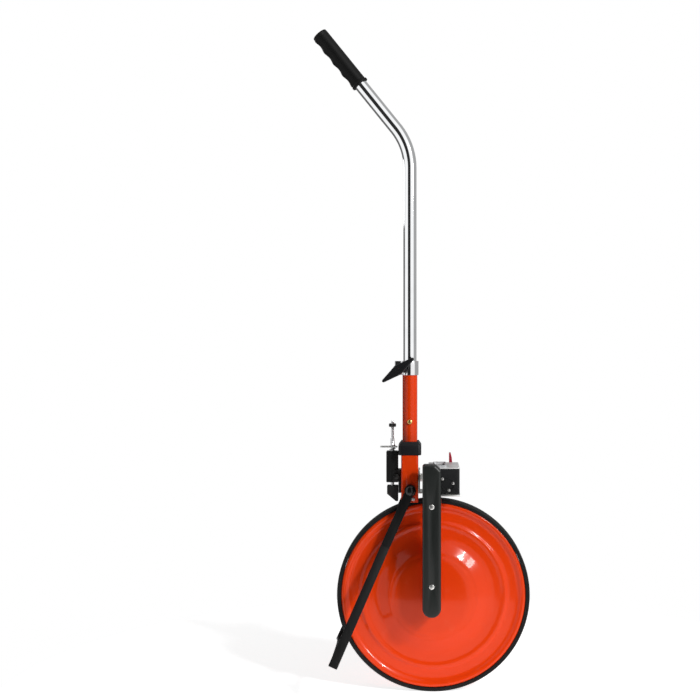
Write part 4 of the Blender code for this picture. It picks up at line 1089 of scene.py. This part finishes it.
def make_wing_knob():
    """A turned hub and two tapered wings, melted into one moulding."""
    low, high = span("wing_knob")
    hub = [(low.x, 0.0), (low.x, 4.3), (9.0, 6.2), (14.0, 7.6), (20.0, 8.6), (31.0, 8.8), (33.6, 8.0)]
    hub += [(35.0, 6.0), (high.x - 0.8, 3.0), (high.x - 0.8, 0.0)]
    knob = turned(hub, "X", CLAMP_AXIS, 64)
    taper = ((4.0, 8.0), (12.0, 6.2), (20.0, 4.6))
    wings = []
    for turn in (WING_TILT, WING_TILT + 180):
        along, across = headings(turn)
        tip = CLAMP_AXIS.yz + along * (WING_REACH - WING_TIP_R)
        wings += [tuple(CLAMP_AXIS.yz + along * reach - across * half) for reach, half in taper]
        wings += arc(*tip, WING_TIP_R, turn - 80, turn + 80, 12)
        wings += [tuple(CLAMP_AXIS.yz + along * reach + across * half) for reach, half in taper[::-1]]
    blade = bevelled(prism(wings, "X", 22.6, high.x - 0.2), 1.6, 5, 30)
    knob = moulded(combine(knob, blade, "UNION"), 0.42, 6)
    knob = drilled(knob, "X", CLAMP_AXIS.yz, 3.0, -2, 18.4)
    piece("wing_knob", knob, KNOB, smooth_angle=60)


# ------------------------------------------------------------------ handle and grip

HANDLE_R = 10.9
HANDLE_BORE = 9.7
BEND_R = 105.0
BEND_Z = 902.0
BEND_ANGLE = math.radians(39.0)
SLOT_Z, SLOT_WIDE = (442.2, 553.0), 5.0
GRIP_START, GRIP_END = 130.0, 239.0


def handle_station(distance):
    """Centre and upward normal at a distance along the handle's upper straight."""
    along = Vector((0, -math.sin(BEND_ANGLE), math.cos(BEND_ANGLE)))
    normal = Vector((0, math.cos(BEND_ANGLE), math.sin(BEND_ANGLE)))
    return Vector((0, COLUMN_Y, BEND_Z)) + along * distance, normal


def make_handle():
    foot = Vector((0, COLUMN_Y, span("handle_tube")[0].z))
    chamfer = 0.5
    forward = Vector((0, 1, 0))
    stations = [(foot, forward, HANDLE_R - chamfer)]
    stations += [(foot + Vector((0, 0, chamfer)), forward, HANDLE_R)]
    tangent = BEND_R * math.tan(BEND_ANGLE / 2)
    centre = Vector((0, COLUMN_Y - BEND_R, BEND_Z - tangent))
    for i in range(29):
        turn = BEND_ANGLE * i / 28
        normal = Vector((0, math.cos(turn), math.sin(turn)))
        stations.append((centre + normal * BEND_R, normal, HANDLE_R))
    stations.append((*handle_station(GRIP_END - 5.0), HANDLE_R))
    tube = swept(stations, 80, HANDLE_BORE)
    half = SLOT_WIDE / 2
    slot = rounded_box((COLUMN_Y - half, SLOT_Z[0]), (COLUMN_Y + half, SLOT_Z[1]), half - 0.01, 10)
    tube = combine(tube, prism(slot, "X", 3, HANDLE_R + 4))
    piece("handle_tube", tube, CHROME)


def make_grip():
    """Moulded grip: a flange, four finger hollows underneath and a squared-off end."""
    sides = 72
    bm = bmesh.new()

    def ring(distance, top_r, low_r, side_r=None):
        centre, normal = handle_station(distance)
        mid_r = side_r if side_r else (top_r + low_r) / 2
        made = []
        for i in range(sides):
            angle = 2 * math.pi * i / sides
            across, lift = math.cos(angle), math.sin(angle)
            upright_r = top_r if lift > 0 else low_r
            made.append(bm.verts.new(centre + Vector((across * mid_r, 0, 0)) + normal * lift * upright_r))
        return made

    bore = HANDLE_R + 0.3
    start, end = GRIP_START, GRIP_END
    rows = [(end - 4, bore, bore), (start, bore, bore), (start, 14.0, 14.0), (start + 0.5, 14.5, 14.5)]
    rows += [(start + 3.3, 14.5, 14.5), (start + 4.0, 14.0, 14.1), (start + 4.8, 13.0, 13.5)]
    rows += [(start + 5.8, 12.8, 13.4)]
    first, last = start + 6.2, end - 6.0
    count, fingers = 96, 4
    for i in range(1, count):
        share = i / count
        wave = (0.5 - 0.5 * math.cos(2 * math.pi * fingers * share)) ** 0.8
        rows.append((first + (last - first) * share, 12.8, 14.2 - 1.9 * wave, 12.9))
    rows += [(end - 5.0, 12.8, 13.6), (end - 4.6, 12.4, 13.2), (end - 4.0, 12.4, 13.2)]
    rows += [(end - 3.6, 12.7, 13.5), (end - 1.8, 12.5, 13.2), (end - 0.8, 11.8, 12.4)]
    rows += [(end - 0.2, 10.4, 10.8), (end, 8.6, 9.0), (end - 0.5, 7.4, 7.8)]
    skin_rings(bm, [ring(*row) for row in rows])
    piece("handle_grip", close_up(bm), GRIP, smooth_angle=50)


# ------------------------------------------------------------------ kick stand

STAND_PIVOT = middle("stand_pivot_pin")
STAND_ANGLE = math.radians(24.2)
STAND_LENGTH, STAND_STRAIGHT = 300.0, 100.0
STAND_WIDTH, STAND_THICK = 15.0, 3.3
STAND_TOP_X, STAND_FOOT_X, STAND_EYE_R = 27.1, 86.0, 9.5


def lean(bm):
    """Turns a stand piece from hanging straight down to its rest behind the wheel."""
    bmesh.ops.rotate(bm, verts=bm.verts, cent=STAND_PIVOT, matrix=Matrix.Rotation(-STAND_ANGLE, 3, "X"))
    return bm


def make_stand():
    y, z = STAND_PIVOT.y, STAND_PIVOT.z
    half = STAND_WIDTH / 2
    eye = STAND_EYE_R
    shoulder = math.degrees(math.acos(half / eye))
    foot_z, knee_z = z - STAND_LENGTH, z - STAND_STRAIGHT
    for side, way in (("right", 1.0), ("left", -1.0)):
        inner = STAND_TOP_X - STAND_THICK / 2
        line = [(way * inner, z + eye + 1), (way * inner, knee_z), (way * STAND_FOOT_X, foot_z)]
        line = fillet(line, 14.0, 14, closed=False)
        leg = prism(strip(line, way * STAND_THICK), "Y", y - eye - 1, y + eye + 1)
        trim = arc(y, z, eye, -shoulder, 180 + shoulder, 40)
        trim += arc(y - half + 2.5, foot_z + 2.5, 2.5, 180, 270, 6)
        trim += arc(y + half - 2.5, foot_z + 2.5, 2.5, 270, 360, 6)
        leg = combine(leg, prism(trim, "X", -130, 130), "INTERSECT")
        reach = (way * STAND_TOP_X - 8, way * STAND_TOP_X + 8)
        leg = drilled(leg, "X", (y, z), M8_HOLE, *reach)
        piece("stand_leg_" + side, lean(bevelled(leg, 0.5, 3)), BAR)
    slope = (STAND_FOOT_X - STAND_TOP_X) / (STAND_LENGTH - STAND_STRAIGHT)
    bar_z = foot_z + 8.0
    end_x = STAND_FOOT_X - 8.0 * slope - 0.5
    bar = [(-end_x, bar_z), (-12.0, bar_z + 9), (12.0, bar_z + 9), (end_x, bar_z)]
    bar = fillet(bar, 20.0, 10, closed=False)
    bar = prism(strip(bar, -STAND_THICK), "Y", y - half + 1, y + half - 1)
    piece("stand_foot_bar", lean(bevelled(bar, 0.5, 3)), BAR)
    outer = STAND_TOP_X + STAND_THICK / 2 + 0.3
    head = [(-outer - 3.4, 0.0), (-outer - 3.35, 2.0), (-outer - 3.0, 4.2), (-outer - 2.3, 6.1)]
    head += [(-outer - 1.2, 7.5), (-outer - 0.4, 8.0), (-outer, 8.0), (-outer, 4.0)]
    line = head + [(-x, r) for x, r in reversed(head)]
    axis = Vector((0, y, z))
    piece("stand_pivot_pin", turned(line, "X", axis, 72), POLISHED)
    low, high = span("stand_stop_pin")
    r = 2.5
    line = [(low.x, 0.0), (low.x, r - 0.7), (low.x + 0.7, r), (high.x - 0.7, r), (high.x, r - 0.7)]
    line += [(high.x, 0.0)]
    pin = turned(line, "X", middle("stand_stop_pin") * Vector((0, 1, 1)), 40)
    piece("stand_stop_pin", pin, BRIGHT)


# ------------------------------------------------------------------ brake

ROD_Y = middle("brake_rod").y
ROD_CENTRE = Vector((0, ROD_Y, 0))


def make_brake_guide():
    low, high = span("brake_block")
    seat_z = span("brake_spring")[0].z - 0.3
    bolt = middle("brake_bolt")
    guide = padded_prism(inset_box(low, high, 2.8), "Z", low.z, high.z, 1.3, 5)
    guide = drilled(guide, "Z", ROD_CENTRE.xy, M6_HOLE, low.z - 3, high.z + 3)
    guide = drilled(guide, "Z", ROD_CENTRE.xy, 6.2, seat_z, high.z + 3, 48)
    guide = drilled(guide, "X", bolt.yz, M5_HOLE, -20, 20)
    piece("brake_block", bevelled(guide, 0.3, 2, 55), GUIDE)
    piece("brake_bracket", bevelled(cad_copy("brake_bracket"), 0.35, 2), OXIDE)

    low, high = span("brake_bolt")
    line = [(low.x, 0.0), (low.x, 1.9)] + thread_profile(low.x + 0.5, low.x + 5, 2.5, 0.8)
    line += [(low.x + 5.4, 2.5), (high.x - 2.4, 2.5), (high.x - 2.4, 0.0)]
    piece("brake_bolt", bolt_solid("X", *bolt.yz, (high.x - 2.8, high.x), 4.8, 0.5, line), OXIDE)


def make_brake_rod():
    low = span("brake_rod")[0]
    r, top_z = 2.8, 446.0
    seat = span("brake_tab")[1].z + 0.3
    line = [(low.z, 0.0), (low.z, r), (seat, r), (seat, 4.5), (seat + 0.3, 4.8), (seat + 1.2, 4.8)]
    line += [(seat + 1.5, 4.5), (seat + 3.4, 3.3), (seat + 12.5, 3.1), (seat + 13.0, 2.7)]
    line += [(seat + 13.0, r - 0.4)] + thread_profile(seat + 13.4, top_z - 0.8, r - 0.3, 0.8, 0.3)
    line += [(top_z, r - 0.7), (top_z, 0.0)]
    piece("brake_rod", turned(line, "Z", ROD_CENTRE, 48), ROD)

    low, high = span("brake_knob")
    knurl = []
    for i in range(48):
        angle = 2 * math.pi * i / 48
        r = 5.98 if i % 2 else 5.55
        knurl.append((r * math.cos(angle), ROD_Y + r * math.sin(angle)))
    knob = prism(knurl, "Z", low.z, high.z)
    rims = [(low.z, 0.0), (low.z, 5.1), (low.z + 0.9, 6.2), (high.z - 0.9, 6.2), (high.z, 5.1), (high.z, 0.0)]
    knob = combine(knob, turned(rims, "Z", ROD_CENTRE, 64), "INTERSECT")
    knob = drilled(knob, "Z", ROD_CENTRE.xy, M6_HOLE, low.z - 2, high.z + 2)
    piece("brake_knob", knob, OXIDE)


def make_brake_tab():
    low, high = span("brake_tab")
    tab = prism(rounded_box((low.x, low.y), (high.x, high.y), 3.2), "Z", low.z, high.z)
    tab = drilled(tab, "Z", ROD_CENTRE.xy, M6_HOLE, low.z - 3, high.z + 3)
    piece("brake_tab", bevelled(tab, 0.35, 3), ZINC)


def make_brake_pad():
    low, high = span("brake_pad")
    wedge = [(low.y, high.z), (low.y, low.z + 12), (low.y + 2, low.z + 10.5), (-62.0, low.z)]
    wedge += [(high.y, low.z), (high.y, high.z)]
    pad = bevelled(prism(wedge, "X", low.x, high.x), 0.8, 4)
    for number in range(3):
        z = low.z + 13.5 + number * 3.6
        groove = block((low.x - 1, low.y - 1, z), (high.x + 1, low.y + 0.6, z + 1.1))
        pad = combine(pad, groove)
    pad = drilled(pad, "Z", ROD_CENTRE.xy, M6_HOLE, high.z - 6.4, high.z + 3)
    piece("brake_pad", pad, PAD)


def make_brake_spring():
    """The return spring stands still on the guide block and rides on the frame, with a mesh of its own."""
    low, high = span("brake_spring")
    wire = 0.65
    spring = coil(0.0, ROD_Y, low.z + wire, high.z - wire, 4.6, wire, 6.5)
    spring = piece("brake_spring", spring, SPRING, body="frame")
    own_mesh(spring)


# ------------------------------------------------------------------ nodes that keep their shape

def finish_kept(node, material):
    """Gives a CAD node its finish, and leaves its shape as it is."""
    obj = frame["nodes"][node]
    obj.data.materials.clear()
    obj.data.materials.append(material)


def make_all():
    for build in (make_tyre, make_discs, make_hub, make_sleeve, make_axle, make_fork, make_drive_cover,
                  make_case, make_top_plate, make_drums, make_reset, make_counter_plate,
                  make_column_base, make_column_cap, make_outer_tube, make_clamp_band, make_clamp_screw,
                  make_wing_knob, make_handle, make_grip, make_stand, make_brake_guide, make_brake_rod,
                  make_brake_tab, make_brake_pad, make_brake_spring):
        build()
    for node, material in (("bearing_left", STEEL), ("bearing_right", STEEL), ("sleeve_bush", BRASS),
                           ("lower_pulley", PULLEY_METAL), ("upper_pulley", PULLEY_METAL),
                           ("drive_belt", BELT), ("cover_back", COVER), ("counter_window", PANE),
                           ("input_shaft", STEEL), ("drum_shaft", STEEL)):
        finish_kept(node, material)


make_all()


# ------------------------------------------------------------------ floor, light and camera

# The stage is in metres.
CAMERA_PLACE = (2.025, -0.014, 0.5865)
FLOOR_R = 0.72
FLOOR_GLOW = 0.76
FILL = 0.08
REFLECTED = 1.10


def make_floor():
    bm = bmesh.new()
    bmesh.ops.create_circle(bm, cap_ends=True, segments=96, radius=FLOOR_R)
    mesh = mesh_from("floor", bm)
    f = Finish("floor_paper", (0.9, 0.9, 0.9), 0.9, Specular_IOR_Level=0.1, Emission_Strength=FLOOR_GLOW)
    f.put("Emission Color", (1.0, 1.0, 1.0, 1.0))
    f.put("Base Color", f.mixed(f.noise(2.0, 3.0), (0.88, 0.88, 0.88), (0.91, 0.91, 0.91)))
    mesh.materials.append(f.material)
    placed("floor", mesh)


def area_light(name, place, aim_z, size, power):
    """A square lamp that points at a height above the middle of the floor."""
    light = bpy.data.lights.new(name, "AREA")
    light.shape = "RECTANGLE"
    light.size = size
    light.size_y = size
    light.energy = power
    lamp = placed(name, light)
    lamp.location = place
    lamp.rotation_euler = (Vector(place) - Vector((0, 0, aim_z))).to_track_quat("Z", "Y").to_euler()


class Studio(Nodes):
    """The room's light, built with the same arithmetic as a finish."""

    def __init__(self):
        world = bpy.data.worlds.new("studio")
        bpy.context.scene.world = world
        world.use_nodes = True
        world.node_tree.nodes.clear()
        super().__init__(world.node_tree, "Generated")

    def background(self, strength):
        return self.node("ShaderNodeBackground", None, {"Color": (1, 1, 1, 1), "Strength": strength})

    def either(self, amount, first, second):
        return self.node("ShaderNodeMixShader", None, {0: amount, 1: first, 2: second})


def make_world():
    """White to the eye; soft white fill; in reflections, tall dark flats between bright ones."""
    room = Studio()
    x, y, z = (room.axis_part(name) for name in "XYZ")
    turn = y.maths("ARCTAN2", y, x) * (180.0 / math.pi)
    middle_dark = turn.ramp(-38.0, -33.0) * turn.ramp(13.0, 9.0)
    front_dim = turn.ramp(62.0, 76.0)
    rear_dim = turn.ramp(-92.0, -102.0)
    overhead = z.ramp(0.80, 0.92)
    walls = 1 - middle_dark * 0.975 - front_dim * 0.62 - rear_dim * 0.86
    glow = (walls * (1 - overhead) + overhead * 0.9) * REFLECTED
    seen = room.node("ShaderNodeLightPath", output="Is Camera Ray")
    glossy = room.node("ShaderNodeLightPath", output="Is Glossy Ray")
    around = room.either(glossy, room.background(FILL), room.background(glow))
    shown = room.either(seen, around, room.background(1.0))
    room.node("ShaderNodeOutputWorld", None, {"Surface": shown})


def make_lights():
    area_light("key", (1.75, 1.55, 1.75), 0.25, 0.30, 43.0)
    area_light("side", (1.75, 1.95, 1.30), 0.25, 0.34, 15.0)
    area_light("rim", (-1.2, -1.6, 1.4), 0.3, 1.0, 8.0)


def make_camera():
    """Looks straight along -X at the drive cover's side."""
    data = bpy.data.cameras.new("camera")
    data.sensor_width = 36.0
    data.lens = 62.8
    data.shift_x = -0.107
    data.shift_y = -0.02
    data.clip_end = 30.0
    camera = placed("camera", data)
    camera.location = CAMERA_PLACE
    camera.rotation_euler = Matrix(((0, 0, 1), (1, 0, 0), (0, 1, 0))).to_euler()
    bpy.context.scene.camera = camera


make_floor()
make_world()
make_lights()
make_camera()
bpy.context.scene.view_settings.view_transform = "Standard"
